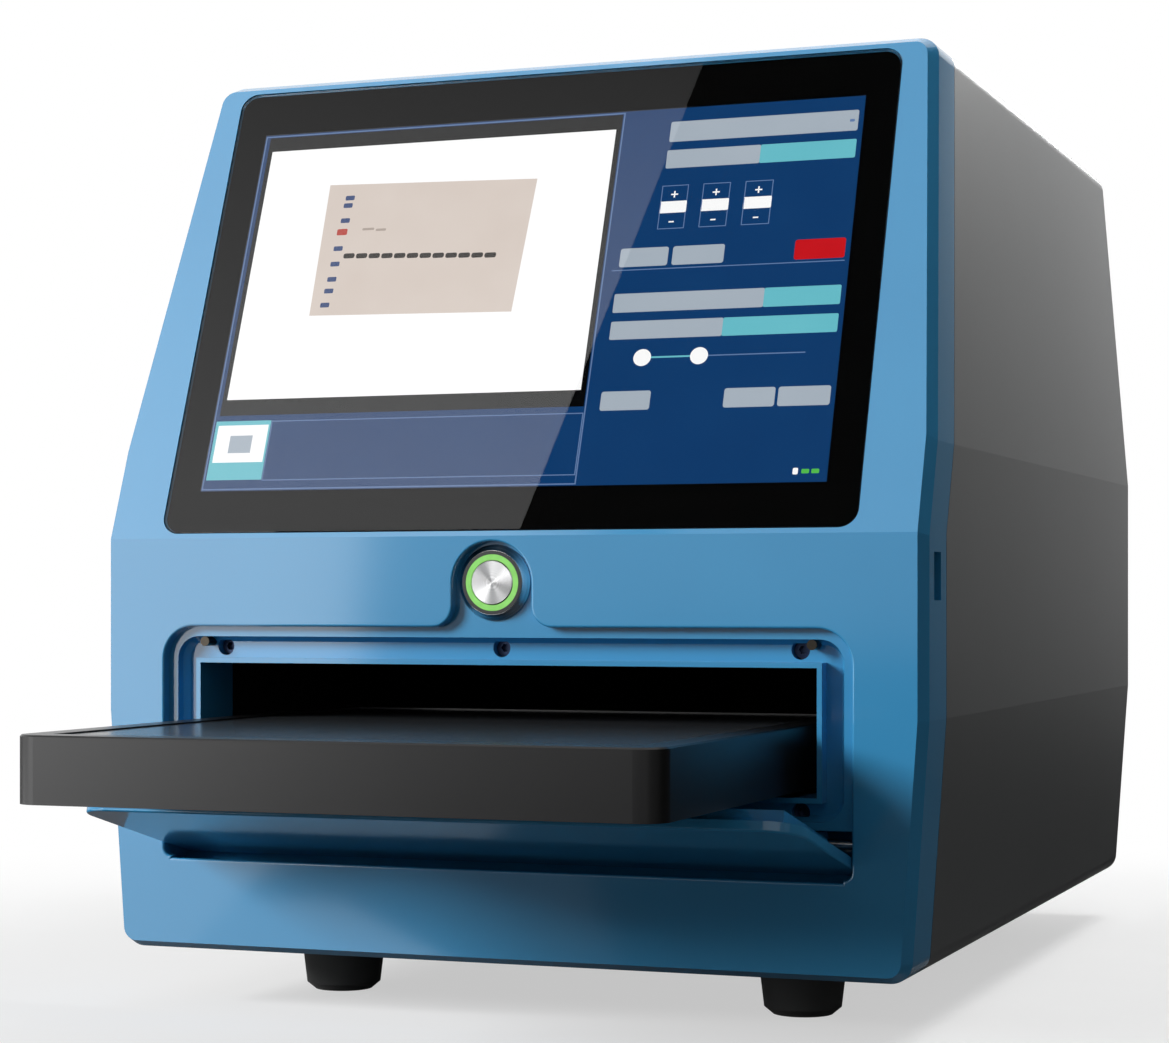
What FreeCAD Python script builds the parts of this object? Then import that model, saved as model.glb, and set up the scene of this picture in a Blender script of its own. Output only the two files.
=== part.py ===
import FreeCAD, Part
import math
import os
import re
import types

import Sketcher
from FreeCAD import Rotation, Vector

# Gel documentation system: a bench cabinet with a sloping touch screen, a light-tight
# imaging chamber, a motor-driven sample tray and a spring flap that closes the tray's mouth.
#
# Working frame while modelling: X to the right with 0 on the plane of symmetry, Y to the
# back with 0 at the lower front face, Z up with 0 at the underside of the cabinet.
# Every sub-part is then seated in the part's own frame: centred, standing on its feet.

doc = FreeCAD.newDocument("gel_documentation_system")
sheet = doc.addObject("Spreadsheet::Sheet", "dims")

SIZES = {
    # touch screen: its lit area sets the sloping face, and that sets the cabinet
    "screen_half": 108.48,
    "screen_tall": 135.6,
    "screen_side": 11.22,
    "screen_foot": 15.4,
    "screen_head": 16.2,
    "glass_low": 2.0,
    "glass_round": 6.0,
    "glass_thick": 1.6,
    "glass_bevel": 0.25,
    "window_margin": 3.5,
    "lcd_margin": 6.2,
    "lcd_thick": 4.6,
    "bracket_wing": 15.5,
    "bracket_edge": 3.5,
    "bracket_set": 8.8,
    "bracket_thick": 1.5,
    "bracket_rib": 6.0,
    "bracket_bay": 9.5,
    "driver_half": 46.0,
    "driver_tall": 42.0,
    "driver_edge": 5.6,
    "board_thick": 1.6,
    # cabinet outline, seen from the front: narrower at the foot and at the top
    "side_frame": 10.1,
    "top_draw": 11.35,
    "foot_draw": 5.55,
    "facet_low": 79.9,
    "facet_tall": 85.6,
    "top_rim": 4.35,
    "depth": 375.35,
    "corner_round": 7.0,
    # front profile, seen from the side: upright, then leaning back from the bend
    "brow": 1.75,
    "tilt": 20.6,
    # front bezel casting
    "bezel_wall": 4.0,
    "rim_inset": 2.4,
    "rim_deep": 5.5,
    "band": 22.55,
    "seam": 0.4,
    "side_slot_front": 11.6,
    "side_slot_deep": 9.2,
    "side_slot_drop": 20.55,
    "side_slot_tall": 14.8,
    # housing cover and rear panel
    "cover_wall": 2.5,
    "back_round": 2.0,
    "back_lip": 11.5,
    "bottom_flange": 17.6,
    "panel_set": 7.0,
    "sheet_thick": 2.0,
    "fit_gap": 0.3,
    # recess of the flap, in two steps, with a raised lip round the mouth
    "recess_land": 17.2,
    "recess_side": 11.9,
    "recess_low": 31.3,
    "recess_brow": 12.1,
    "recess_round": 11.0,
    "recess_foot_round": 2.8,
    "ledge_deep": 3.7,
    "ledge_wide": 3.3,
    "floor_deep": 9.0,
    "floor_drop": 7.4,
    "foot_blend": 1.8,
    "edge_soft": 0.8,
    "mouth_side": 6.96,
    "mouth_rise": 24.6,
    "mouth_tall": 39.9,
    "mouth_collar": 26.0,
    "collar_wall": 1.8,
    "lip_wide": 1.6,
    "lip_front": 3.4,
    "tub_wall": 3.0,
    "tub_deep": 17.0,
    "screw_sink": 6.0,
    "screw_seat": 3.0,
    "screw_above": 5.4,
    "screw_below": 4.9,
    "screw_in": 6.7,
    # flap hinge
    "pin_deep": 8.1,
    "pin_rise": 10.4,
    "pin_radius": 1.5,
    "pin_fit": 0.05,
    "hollow_radius": 13.2,
    "hollow_rise": 4.4,
    "knuckle_radius": 3.8,
    "knuckle_set": 10.4,
    "knuckle_long": 14.0,
    "pin_lug": 8.0,
    "lug_gap": 4.0,
    # flap
    "flap_gap": 0.4,
    "flap_skin": 3.2,
    "flap_open": 75.2,
    "flap_rib_deep": 4.4,
    "flap_rib_wide": 2.6,
    "flap_rib_gap": 0.9,
    "flap_grid_deep": 2.6,
    "flap_grid_wide": 2.0,
    "flap_edge": 0.7,
    "magnet_radius": 1.6,
    # push button in its arch
    "button_rise": 14.3,
    "arch_half": 13.6,
    "arch_rise": 13.2,
    "arch_flat": 0.2,
    "arch_flare": 7.0,
    "arch_wall": 4.0,
    "barrel_radius": 9.5,
    "flange_radius": 12.2,
    "flange_front": 10.3,
    "flange_high": 2.8,
    "trim_thick": 0.3,
    "ring_radius": 9.0,
    "ring_bore": 7.3,
    "cap_radius": 7.15,
    "cap_proud": 0.4,
    # sample tray
    "tray_reach": 122.9,
    "tray_tail": 102.1,
    "tray_lift": 1.68,
    "tray_tall": 20.16,
    "tray_round": 7.93,
    "tray_rim": 9.0,
    "well_deep": 2.7,
    "stage_thick": 2.2,
    "tray_edge": 0.5,
    "tray_travel": 132.0,
    "tray_rib": 6.0,
    # chassis deck, slide rails and screw drive
    "deck_front": 28.4,
    "deck_tail": 35.35,
    "deck_side": 4.0,
    "slide_stack": 21.58,
    "deck_low": 2.5,
    "channel_half": 40.0,
    "rail_side": 60.0,
    "rail_wide": 12.0,
    "rail_tall": 8.0,
    "rail_set": 0.6,
    "rail_spare": 27.0,
    "block_wide": 27.0,
    "block_long": 45.0,
    "block_set": 55.0,
    "block_tall": 13.3,
    "slide_gap": 0.2,
    "carriage_half": 76.0,
    "carriage_set": 6.1,
    "carriage_long": 64.0,
    "screw_drop": 9.0,
    "screw_radius": 4.0,
    "screw_fit": 0.05,
    "motor_set": 12.0,
    "motor_size": 42.3,
    "motor_long": 38.0,
    "motor_shaft_radius": 2.5,
    # imaging chamber
    "chamber_side": 5.5,
    "chamber_wall": 1.5,
    "camera_clear": 5.6031,
    "chamber_back": 250.0,
    "tunnel_rise": 3.7,
    "chamber_front": 36.0,
    # camera
    "camera_deep": 122.0,
    "camera_half": 31.0,
    "camera_rise": 17.0,
    "camera_tall": 50.0,
    "lens_radius": 16.0,
    "lens_drop": 19.0,
    "focus_radius": 19.0,
    "focus_rise": 10.0,
    "focus_tall": 12.0,
    "focus_fit": 0.06,
    # feet
    "foot_drop": 20.0,
    "foot_radius": 15.0,
    "foot_tip": 12.4,
    "foot_bevel": 2.4,
    "foot_side": 84.0,
    "foot_front": 66.6,
    "foot_behind": 57.35,
    # main board and power supply, behind the chamber
    "board_half": 92.0,
    "board_low": 80.0,
    "board_tall": 116.0,
    "board_post": 8.0,
    "supply_wide": 66.0,
    "supply_tall": 40.0,
    "supply_gap": 2.35,
    # cooling fan
    "fan_side": 60.0,
    "fan_high": 200.0,
    "fan_size": 60.0,
    "fan_thick": 15.0,
    "fan_bore": 28.0,
    "fan_hub": 13.0,
    "fan_tip_gap": 0.8,
    "fan_blades": 7,
    "fan_screw_set": 25.0,
    "fan_chord": 13.0,
    "fan_pitch": 38.0,
    # mains inlet, switch and sockets on the rear panel
    "inlet_side": 88.0,
    "inlet_high": 44.0,
    "inlet_half": 13.9,
    "inlet_tall": 20.0,
    "rocker_high": 80.0,
    "rocker_half": 9.6,
    "rocker_tall": 13.0,
    "rocker_tilt": 9.0,
    "socket_low": 44.0,
}
# places and sizes that follow from others, so that the pieces keep together
FOLLOWS = {
    "glass_half": "screen_half + screen_side",
    "screen_low": "glass_low + screen_foot",
    "glass_high": "screen_low + screen_tall + screen_head",
    "bracket_half": "screen_half + bracket_wing",
    "half_top": "glass_half + side_frame",
    "half_mid": "half_top + top_draw",
    "half_foot": "half_mid - foot_draw",
    "facet_high": "facet_low + facet_tall",
    "recess_half": "half_foot - recess_land",
    "mouth_half": "recess_half - recess_side",
    "tray_half": "mouth_half - mouth_side",
    "mouth_low": "recess_low + mouth_rise",
    "mouth_high": "mouth_low + mouth_tall",
    "mouth_middle": "mouth_low + mouth_tall / 2",
    "floor_low": "mouth_low - floor_drop",
    "recess_high": "mouth_high + recess_brow",
    "pin_high": "recess_low + pin_rise",
    "hollow_top": "pin_high + hollow_rise",
    "button_high": "recess_high + button_rise",
    "arch_round": "arch_half - arch_flat",
    "arch_high": "button_high + arch_rise",
    "bend": "arch_high + brow",
    "height": "bend + (glass_high + top_rim) * cos(tilt)",
    "side_slot_low": "bend - side_slot_drop",
    "chamber_top": "height - cover_wall - camera_clear - 9.5 - camera_tall - camera_rise",
    "supply_long": "depth - panel_set - 28 - supply_gap - chamber_back - board_post",
    "knuckle_out": "recess_half - knuckle_set",
    "pin_inner": "knuckle_out - knuckle_long - pin_lug - lug_gap",
    "magnet_side": "mouth_half - magnet_radius",
    "magnet_high": "recess_high - ledge_wide - magnet_radius - 0.1",
    "base_half": "half_foot - bottom_flange",
    "base_back": "back_lip + cover_wall",
    "foot_back": "depth - foot_behind",
    "tray_low": "mouth_low + tray_lift",
    "tray_long": "tray_reach + tray_tail",
    "deck_high": "tray_low - slide_stack",
    "deck_floor": "deck_low + sheet_thick",
    "deck_back": "depth - deck_tail",
    "carriage_front": "tray_tail - carriage_set - carriage_long",
    "carriage_low": "deck_high + block_tall",
    "block_back": "carriage_front + block_set",
    "rail_front": "deck_front + rail_set",
    "rail_long": "block_back + tray_travel + rail_spare - rail_front",
    "screw_high": "deck_high - screw_drop",
    "motor_front": "chamber_back + motor_set",
    "chamber_half": "mouth_half + chamber_side",
    "deck_half": "chamber_half + deck_side",
    "tunnel_top": "mouth_high + tunnel_rise",
    "tunnel_low": "hollow_top + tub_wall + 0.5",
    "tub_back": "pin_deep + hollow_radius + tub_wall + 0.8",
    "camera_low": "chamber_top + camera_rise",
    "plate_low": "camera_low - 3",
    "lens_low": "chamber_top - lens_drop",
    "focus_low": "lens_low + focus_rise",
}
ALIASES = {**SIZES, **FOLLOWS}
for row, (alias, entry) in enumerate(ALIASES.items(), start=1):
    sheet.set(f"A{row}", alias)
    sheet.set(f"B{row}", f"={entry}" if alias in FOLLOWS else str(entry))
    sheet.setAlias(f"B{row}", alias)
doc.recompute()
size = types.SimpleNamespace(**{alias: float(sheet.get(alias)) for alias in ALIASES})

# how far the cabinet's own frame sits from the part's frame
CENTRE = "(depth - tray_reach) / 2"
TURN = {
    "X": Rotation(Vector(0, 1, 0), 90),
    "Y": Rotation(Vector(1, 0, 0), -90),
    "Z": Rotation(),
    "-Y": Rotation(Vector(1, 0, 0), 90),
}
nodes = []


# ---- small helpers -------------------------------------------------------------------


def cells(text):
    """Point every size named in an expression at its cell in the sheet."""
    def cell(word):
        return "dims." + word.group() if word.group() in ALIASES else word.group()
    return re.sub(r"[a-z_]+", cell, str(text))


def bind(thing, **properties):
    for name, text in properties.items():
        thing.setExpression(name, cells(text))
    return thing


def put(thing, at, turn="Z"):
    thing.Placement.Rotation = TURN[turn]
    for letter, text in zip("xyz", at):
        thing.setExpression(f"Placement.Base.{letter}", cells(text))
    return thing


def box(name, at, span):
    thing = doc.addObject("Part::Box", name)
    bind(thing, Length=span[0], Width=span[1], Height=span[2])
    return put(thing, at)


def slab(name, half, y, z):
    """A box that is symmetric about X = 0; y and z are (low, high) pairs."""
    at = (f"-({half})", y[0], z[0])
    return box(name, at, (f"2 * ({half})", f"({y[1]}) - ({y[0]})", f"({z[1]}) - ({z[0]})"))


def rod(name, axis, at, radius, length):
    thing = doc.addObject("Part::Cylinder", name)
    bind(thing, Radius=radius, Height=length)
    return put(thing, at, axis)


def cut(name, base, *tools):
    thing = doc.addObject("Part::Cut", name)
    thing.Base = base
    thing.Tool = tools[0] if len(tools) == 1 else fuse(name + "_tools", *tools)
    return thing


def fuse(name, *parts):
    thing = doc.addObject("Part::MultiFuse", name)
    thing.Shapes = list(parts)
    return thing


def group(name, *parts):
    thing = doc.addObject("Part::Compound", name)
    thing.Links = list(parts)
    return thing


def body(name):
    return doc.addObject("PartDesign::Body", name)


def sketch(owner, plane, start):
    """An empty sketch on one of the body's own origin planes, `start` along its axis."""
    thing = owner.newObject("Sketcher::SketchObject", owner.Name + "_sketch")
    base = [part for part in owner.Origin.OriginFeatures if part.Role == plane + "_Plane"]
    thing.AttachmentSupport = (base[0], [""])
    thing.MapMode = "FlatFace"
    sign = "-" if plane == "XZ" else ""
    thing.setExpression("AttachmentOffset.Base.z", cells(f"{sign}({start})"))
    return thing


def fix(thing, geometry, point, across, up):
    """Hold one point of a sketch at its named distances from the sketch's origin."""
    for kind, text in (("DistanceX", across), ("DistanceY", up)):
        index = thing.addConstraint(Sketcher.Constraint(kind, -1, 1, geometry, point, 1.0))
        thing.setExpression(f"Constraints[{index}]", cells(text))


def polygon(owner, plane, corners, start="0"):
    thing = sketch(owner, plane, start)
    turn = Rotation(Vector(0, 0, 1), 360 / len(corners))
    here = Vector(size.half_foot, 0, 0)
    for _ in corners:
        there = turn.multVec(here)
        thing.addGeometry(Part.LineSegment(here, there), False)
        here = there
    last = len(corners)
    for line, (across, up) in enumerate(corners):
        thing.addConstraint(Sketcher.Constraint("Coincident", line, 2, (line + 1) % last, 1))
        fix(thing, line, 1, across, up)
    return thing


def rectangle(half, low, high):
    return [(f"-({half})", low), (half, low), (half, high), (f"-({half})", high)]


def feature(owner, kind, profile, length, reverse=False, midplane=False):
    thing = owner.newObject("PartDesign::" + kind, f"{owner.Name}_{kind.lower()}")
    thing.Profile = profile
    bind(thing, Length=length)
    thing.Reversed = reverse
    thing.Midplane = midplane
    doc.recompute()
    return thing


def pad(owner, plane, corners, start, length):
    """Material from `start`, along +X, +Y or +Z, or to both sides of X = 0 if start is None."""
    profile = polygon(owner, plane, corners, start or "0")
    return feature(owner, "Pad", profile, length, plane == "XZ", start is None)


def pocket(owner, plane, corners, start, length):
    """A hollow from `start`, along +X, +Y or +Z, or to both sides of X = 0 if start is None."""
    profile = polygon(owner, plane, corners, start or "0")
    return feature(owner, "Pocket", profile, length, plane != "XZ" and start is not None,
                   start is None)


def turned(name, profile):
    """A body turned about its own Z axis from (radius, height) corners."""
    owner = body(name)
    thing = owner.newObject("PartDesign::Revolution", name + "_revolution")
    section = polygon(owner, "XZ", profile)
    thing.Profile = section
    thing.ReferenceAxis = (section, ["V_Axis"])
    thing.Angle = 360
    doc.recompute()
    return owner


def lies(edge, run=None, **places):
    """Whether both ends of an edge are at the given places; a stands for |x|."""
    if run and abs(abs(getattr(edge.lastVertex().Point - edge.firstVertex().Point, run))
                   - edge.Length) > 0.01:
        return False
    for vertex in edge.Vertexes:
        point = {"x": vertex.X, "y": vertex.Y, "z": vertex.Z, "a": abs(vertex.X)}
        if any(abs(point[key] - place) > 0.01 for key, place in places.items()):
            return False
    return True


def dress(owner, kind, pick, **properties):
    """A fillet or chamfer on the edges of the body's last feature that `pick` chooses."""
    doc.recompute()
    base = owner.Tip
    names = [f"Edge{number}" for number, edge in enumerate(base.Shape.Edges, start=1)
             if pick(edge)]
    thing = owner.newObject("PartDesign::" + kind, f"{owner.Name}_{kind.lower()}")
    thing.Base = (base, names)
    bind(thing, **properties)
    doc.recompute()
    return thing


def soften(owner, radius, pick):
    return dress(owner, "Fillet", pick, Radius=radius)


def seat(thing, label, at=("0", "0", "0"), turn="Z", lean=None):
    """Give a finished sub-part its name and its place in the part's own frame."""
    put(thing, (at[0], f"{at[1]} - {CENTRE}", f"{at[2]} + foot_drop"), turn)
    if lean:
        axis, angle = lean
        thing.Placement.Rotation = Rotation(axis, 1.0)
        thing.setExpression("Placement.Rotation.Angle", cells(angle))
    thing.Label = label
    nodes.append(thing)
    return thing


def node(label, *parts):
    """Seat loose shapes, each a separate solid, as one sub-part."""
    return seat(group(label + "_set", *parts), label)


DISPLAY = {"at": ("0", "0", "bend"), "lean": (Vector(-1, 0, 0), "tilt")}
FLAP = {"at": ("0", "pin_deep", "pin_high"), "lean": (Vector(1, 0, 0), "flap_open")}


def lean_back(tool):
    """Stand a cutting tool on the sloping face, before the casting itself is seated."""
    put(tool, ("0", "0", "bend"))
    tool.Placement.Rotation = Rotation(Vector(-1, 0, 0), 1.0)
    tool.setExpression("Placement.Rotation.Angle", cells("tilt"))
    return tool


# ---- cabinet: bezel, cover, rear panel, base --------------------------------------------


def outline(inset):
    """The cabinet's eight-cornered outline, drawn in by `inset` all round."""
    right = [(f"half_foot - ({inset})", inset), (f"half_mid - ({inset})", "facet_low"),
             (f"half_mid - ({inset})", "facet_high"), (f"half_top - ({inset})", f"height - ({inset})")]
    return right + [(f"-({across})", up) for across, up in reversed(right)]


def corner_edge(inset):
    def pick(edge):
        low = lies(edge, "y", a=size.half_foot - inset, z=inset)
        return low or lies(edge, "y", a=size.half_top - inset, z=size.height - inset)
    return pick


def front_profile(set_back, reach):
    """Everything in front of the upright and leaning faces set back by `set_back`."""
    lean = f"tan(tilt) * (height + {reach} - bend)"
    return [(set_back, f"-{reach}"), (set_back, "bend"), (f"{set_back} + {lean}", f"height + {reach}"),
            (f"-{reach}", f"height + {reach}"), (f"-{reach}", f"-{reach}")]


def cabinet_block(name, inset, set_back, back):
    """A length of the cabinet behind the front profile, with its corners rounded."""
    owner = body(name)
    pad(owner, "XZ", outline(inset), "-5", f"{back} + 5")
    soften(owner, f"corner_round - ({inset})", corner_edge(getattr(size, inset, 0.0)))
    pocket(owner, "YZ", front_profile(set_back, "20"), None, "2 * half_mid + 20")
    return owner


def on_front(edge):
    """Whether an edge lies in the upright or the leaning front face, but not on the bend."""
    points = [vertex.Point for vertex in edge.Vertexes] + [edge.valueAt(
        (edge.FirstParameter + edge.LastParameter) / 2)]
    lean = math.tan(math.radians(size.tilt))
    for point in points:
        front = max(0.0, point.z - size.bend) * lean
        if abs(point.y - front) > 0.01:
            return False
    return not lies(edge, z=size.bend)


def make_bezel_shell():
    """The blue casting's shell: full outline, chamfered rim, open at the back."""
    blank = cabinet_block("bezel_blank", "0", "0", "rim_deep + band + tan(tilt) * (height - bend)")
    lean = "tan(tilt) * (height + 20 - bend)"
    seam = "rim_deep + band"
    behind = [(seam, "-20"), (seam, "bend"), (f"{seam} + {lean}", "height + 20"),
              ("depth", "height + 20"), ("depth", "-20")]
    pocket(blank, "YZ", behind, None, "2 * half_mid + 20")
    rim = dress(blank, "Chamfer", on_front, Size="rim_deep", Size2="rim_inset")
    rim.ChamferType = "Two distances"
    doc.recompute()
    core = cabinet_block("bezel_core", "bezel_wall", "bezel_wall", "depth")
    return cut("bezel_shell", blank, core)


def make_recess_tools():
    """What the flap and the button leave open in the casting's lower face."""
    outer = body("recess_outer")
    arch = [("-arch_half", "recess_high"), ("-arch_half", "arch_high"),
            ("arch_half", "arch_high"), ("arch_half", "recess_high")]
    ring = [("recess_half", "recess_high"), ("recess_half", "recess_low"),
            ("-recess_half", "recess_low"), ("-recess_half", "recess_high")]
    pad(outer, "XZ", arch + ring, "-2", "ledge_deep + 2")
    soften(outer, "recess_round", lambda edge: lies(edge, "y", a=size.recess_half, z=size.recess_high))
    soften(outer, "recess_foot_round",
           lambda edge: lies(edge, "y", a=size.recess_half, z=size.recess_low))
    soften(outer, "arch_flare", lambda edge: lies(edge, "y", a=size.arch_half, z=size.recess_high))
    soften(outer, "arch_round", lambda edge: lies(edge, "y", a=size.arch_half, z=size.arch_high))

    inner = body("recess_inner")
    half = "recess_half - ledge_wide"
    pad(inner, "XZ", rectangle(half, "floor_low", "recess_high - ledge_wide"), "1",
        "floor_deep - 1")
    side = size.recess_half - size.ledge_wide
    soften(inner, "recess_round - ledge_wide", lambda edge: lies(edge, "y", a=side))
    dress(inner, "Chamfer", lambda edge: lies(edge, y=size.floor_deep), Size="foot_blend")

    pivot = rod("hollow_round", "X", ("-recess_half", "pin_deep", "pin_high"),
                "hollow_radius", "2 * recess_half")
    above = slab("hollow_above", "recess_half + 1", ("-20", "60"), ("hollow_top", "pin_high + 20"))
    corners = []
    for sign in ("", "-"):
        middle = f"{sign}(recess_half - recess_foot_round)"
        start = middle if sign == "" else "-recess_half"
        corner = box("foot_corner" + sign, (start, "-20", "pin_high - 20"),
                     ("recess_foot_round", "ledge_deep + 20",
                      "recess_low - pin_high + 20 + recess_foot_round"))
        sweep = rod("foot_corner_sweep" + sign, "Y", (middle, "-21", "recess_low + recess_foot_round"),
                    "recess_foot_round", "60")
        corners.append(cut("foot_corner_web" + sign, corner, sweep))
    return outer, inner, cut("hinge_hollow", pivot, above, *corners)


BRACKET_PLACES = [(f"{sign}(bracket_half - bracket_edge)", up) for sign in ("-", "") for up in
                  ("glass_low + 7", "(glass_low + glass_high) / 2", "glass_high - 7")]
SCREW_SIDE = "mouth_half - screw_in"
SCREW_PLACES = [(f"{sign}({SCREW_SIDE})", high) for sign in ("", "-") for high in
                ("mouth_high + screw_above", "mouth_low - screw_below")]
SCREW_PLACES += [("0", "mouth_high + screw_above"), ("0", "mouth_low - screw_below")]


def soften_recess(shape):
    """Round the edge where the recess and its arch break the flat lower face."""
    doc.recompute()
    edges = []
    for number, edge in enumerate(shape.Shape.Edges, start=1):
        inside = all(abs(vertex.X) < size.recess_half + 0.1 and vertex.Z < size.arch_high + 0.1
                     for vertex in edge.Vertexes)
        if inside and lies(edge, y=0.0):
            edges.append((number, size.edge_soft, size.edge_soft))
    thing = doc.addObject("Part::Fillet", "bezel_softened")
    thing.Base = shape
    thing.Edges = edges
    return thing


def make_bezel():
    shell = make_bezel_shell()
    wall = "tub_wall"
    upper = slab("tub_upper", f"recess_half + {wall}", ("0", "tub_deep"),
                 ("hollow_top", "recess_high"))
    brow = slab("tub_brow", f"recess_half + {wall}", ("0", f"ledge_deep + {wall}"),
                ("pin_high", f"recess_high + {wall}"))
    lower = slab("tub_lower", f"recess_half + {wall}",
                 ("0", f"pin_deep + hollow_radius + {wall}"),
                 (f"pin_high - hollow_radius - {wall}", f"hollow_top + {wall}"))
    arch = slab("arch_back", f"arch_half + {wall}", ("1", "ledge_deep + arch_wall"),
                ("recess_high - 5", f"arch_high + {wall}"))
    bosses = []
    for number, (across, up) in enumerate(BRACKET_PLACES):
        bosses.append(rod(f"display_boss_{number}", "Y", (across, "bezel_wall - 2", up), "3.4",
                          "bracket_set - bezel_wall + 2"))
    bossed = lean_back(group("display_bosses", *bosses))
    solid = fuse("bezel_solid", shell, upper, brow, lower, arch, bossed)

    opened = soften_recess(cut("bezel_opened", solid, *make_recess_tools()))
    lip = slab("mouth_lip", "mouth_half + lip_wide", ("lip_front", "floor_deep + 1"),
               ("mouth_low - lip_wide", "mouth_high + lip_wide"))
    lugs = []
    for number, start in enumerate(("pin_inner", "-(pin_inner + pin_lug)")):
        lugs.append(rod(f"pin_lug_{number}", "X", (start, "pin_deep", "pin_high"), "knuckle_radius",
                        "pin_lug"))
        lugs.append(box(f"pin_lug_web_{number}", (start, "pin_deep", "pin_high - knuckle_radius"),
                        ("pin_lug", "hollow_radius + 1", "2 * knuckle_radius")))
    collar = slab("mouth_collar_block", "mouth_half + collar_wall", ("floor_deep", "mouth_collar"),
                  ("mouth_low - collar_wall", "mouth_high + collar_wall"))
    lipped = fuse("bezel_lipped", opened, lip, collar, *lugs)

    mouth = slab("mouth", "mouth_half", ("-5", "mouth_collar + 5"), ("mouth_low", "mouth_high"))
    tools = [mouth]
    tools.append(rod("button_hole", "Y", ("0", "0", "button_high"), "barrel_radius + 0.1", "20"))
    for number, (across, up) in enumerate(SCREW_PLACES):
        tools.append(rod(f"screw_hole_{number}", "Y", (across, "floor_deep", up), "1.7", "20"))
        tools.append(rod(f"screw_seat_{number}", "Y", (across, "floor_deep - 0.5", up), "screw_seat",
                         "screw_sink + 0.5"))
    tools.append(rod("pin_bore", "X", ("-(recess_half + tub_wall + 1)", "pin_deep", "pin_high"),
                     "pin_radius", "2 * (recess_half + tub_wall + 1)"))
    for number, sign in enumerate(("", "-")):
        tools.append(rod(f"magnet_pocket_{number}", "Y",
                         (f"{sign}magnet_side", "lip_front", "magnet_high"), "magnet_radius",
                         "floor_deep - lip_front"))
    tools.append(box("side_slot", ("half_mid - 25", "side_slot_front", "side_slot_low"),
                     ("40", "side_slot_deep", "side_slot_tall")))

    seat_tool = body("glass_seat")
    pad(seat_tool, "XZ", rectangle("glass_half + fit_gap", "glass_low - fit_gap",
                                   "glass_high + fit_gap"), "-3", "glass_thick + 3")
    soften(seat_tool, "glass_round + fit_gap", lambda edge: lies(edge, "y"))
    window = slab("screen_window", "screen_half + window_margin", ("-3", "20"),
                  ("screen_low - window_margin", "screen_low + screen_tall + window_margin"))
    pilots = [rod(f"bracket_pilot_{number}", "Y", (across, "bezel_wall - 1", up), "1.25", "20")
              for number, (across, up) in enumerate(BRACKET_PLACES)]
    tools.append(lean_back(group("display_tools", seat_tool, window, *pilots)))
    return seat(cut("front_bezel", lipped, *tools), "front_bezel")


def make_cover():
    """Grey cover: one sleeve with rounded back corners, its underside left open."""
    owner = body("cover")
    pad(owner, "XZ", outline("0"), "-5", "depth + 5")
    soften(owner, "corner_round", corner_edge(0.0))
    soften(owner, "back_round", lambda edge: lies(edge, y=size.depth))
    pocket(owner, "YZ", front_profile("rim_deep + band + seam", "20"), None, "2 * half_mid + 20")
    pocket(owner, "XZ", outline("cover_wall"), "-1", "depth - cover_wall + 1")
    pocket(owner, "XZ", outline("back_lip + cover_wall"), "-1", "depth + 5")
    low = [("-(base_half)", "-1"), ("base_half", "-1"), ("base_half", "depth - base_back"),
           ("-(base_half)", "depth - base_back")]
    pocket(owner, "XY", low, "-1", "cover_wall + 2")
    return seat(owner, "housing_cover")


def make_rear_panel():
    """Folded rear panel: a plate set in from the back, with a rim that meets the cover's lip."""
    plate = body("rear_plate")
    inset = "cover_wall + fit_gap"
    front = "depth - panel_set - sheet_thick"
    pad(plate, "XZ", outline(inset), front, "sheet_thick + panel_set - cover_wall")
    soften(plate, f"corner_round - ({inset})", corner_edge(size.cover_wall + size.fit_gap))
    pocket(plate, "XZ", outline(f"{inset} + sheet_thick"), "depth - panel_set", "20")

    guard = rod("guard_disc", "Y", ("fan_side", "depth - 20", "fan_high"), "fan_bore - 0.5", "20")
    bars = []
    for number in range(9):
        up = f"fan_high - fan_bore + {3.5 + 6.1 * number}"
        bars.append(box(f"guard_bar_{number}", ("fan_side - 40", "depth - 25", up),
                        ("80", "30", "3.6")))
    grille = doc.addObject("Part::MultiCommon", "fan_grille_slots")
    grille.Shapes = [guard, fuse("guard_bars", *bars)]
    tools = [grille]
    for number, (across, up) in enumerate(FAN_SCREWS):
        tools.append(rod(f"fan_screw_hole_{number}", "Y", (across, "depth - 20", up), "1.7", "20"))
    for number in range(8):
        tools.append(box(f"vent_{number}", (f"-100 + {9 * number}", "depth - 20", "170"),
                         ("4", "20", "60")))
    tools.append(box("inlet_cut", ("-inlet_side - inlet_half - 0.2", "depth - 20",
                                   "inlet_high - inlet_tall / 2 - 0.2"),
                     ("2 * inlet_half + 0.4", "20", "inlet_tall + 0.4")))
    tools.append(box("rocker_cut", ("-inlet_side - rocker_half - 0.2", "depth - 20",
                                    "rocker_high - rocker_tall / 2 - 0.2"),
                     ("2 * rocker_half + 0.4", "20", "rocker_tall + 0.4")))
    for name, across, wide, tall in SOCKETS:
        tools.append(box(f"{name}_cut", (f"{across} - {wide} / 2 - 0.2", "depth - 20",
                                         "socket_low - 0.2"), (f"{wide} + 0.4", "20", f"{tall} + 0.4")))
    return seat(cut("rear_panel_cut", plate, *tools), "rear_panel")


INLET_PINS = ((-7, -2), (0, 2), (7, -2))
# rear sockets: name, place along X, width and height
SOCKETS = [("usb_left", "-30", "13.4", "6.2"), ("usb_right", "-8", "13.4", "6.2"),
           ("network", "20", "16.2", "13.6")]
FAN_SCREWS = [(f"fan_side {a} fan_screw_set", f"fan_high {b} fan_screw_set") for a in "+-" for b in "+-"]


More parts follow.
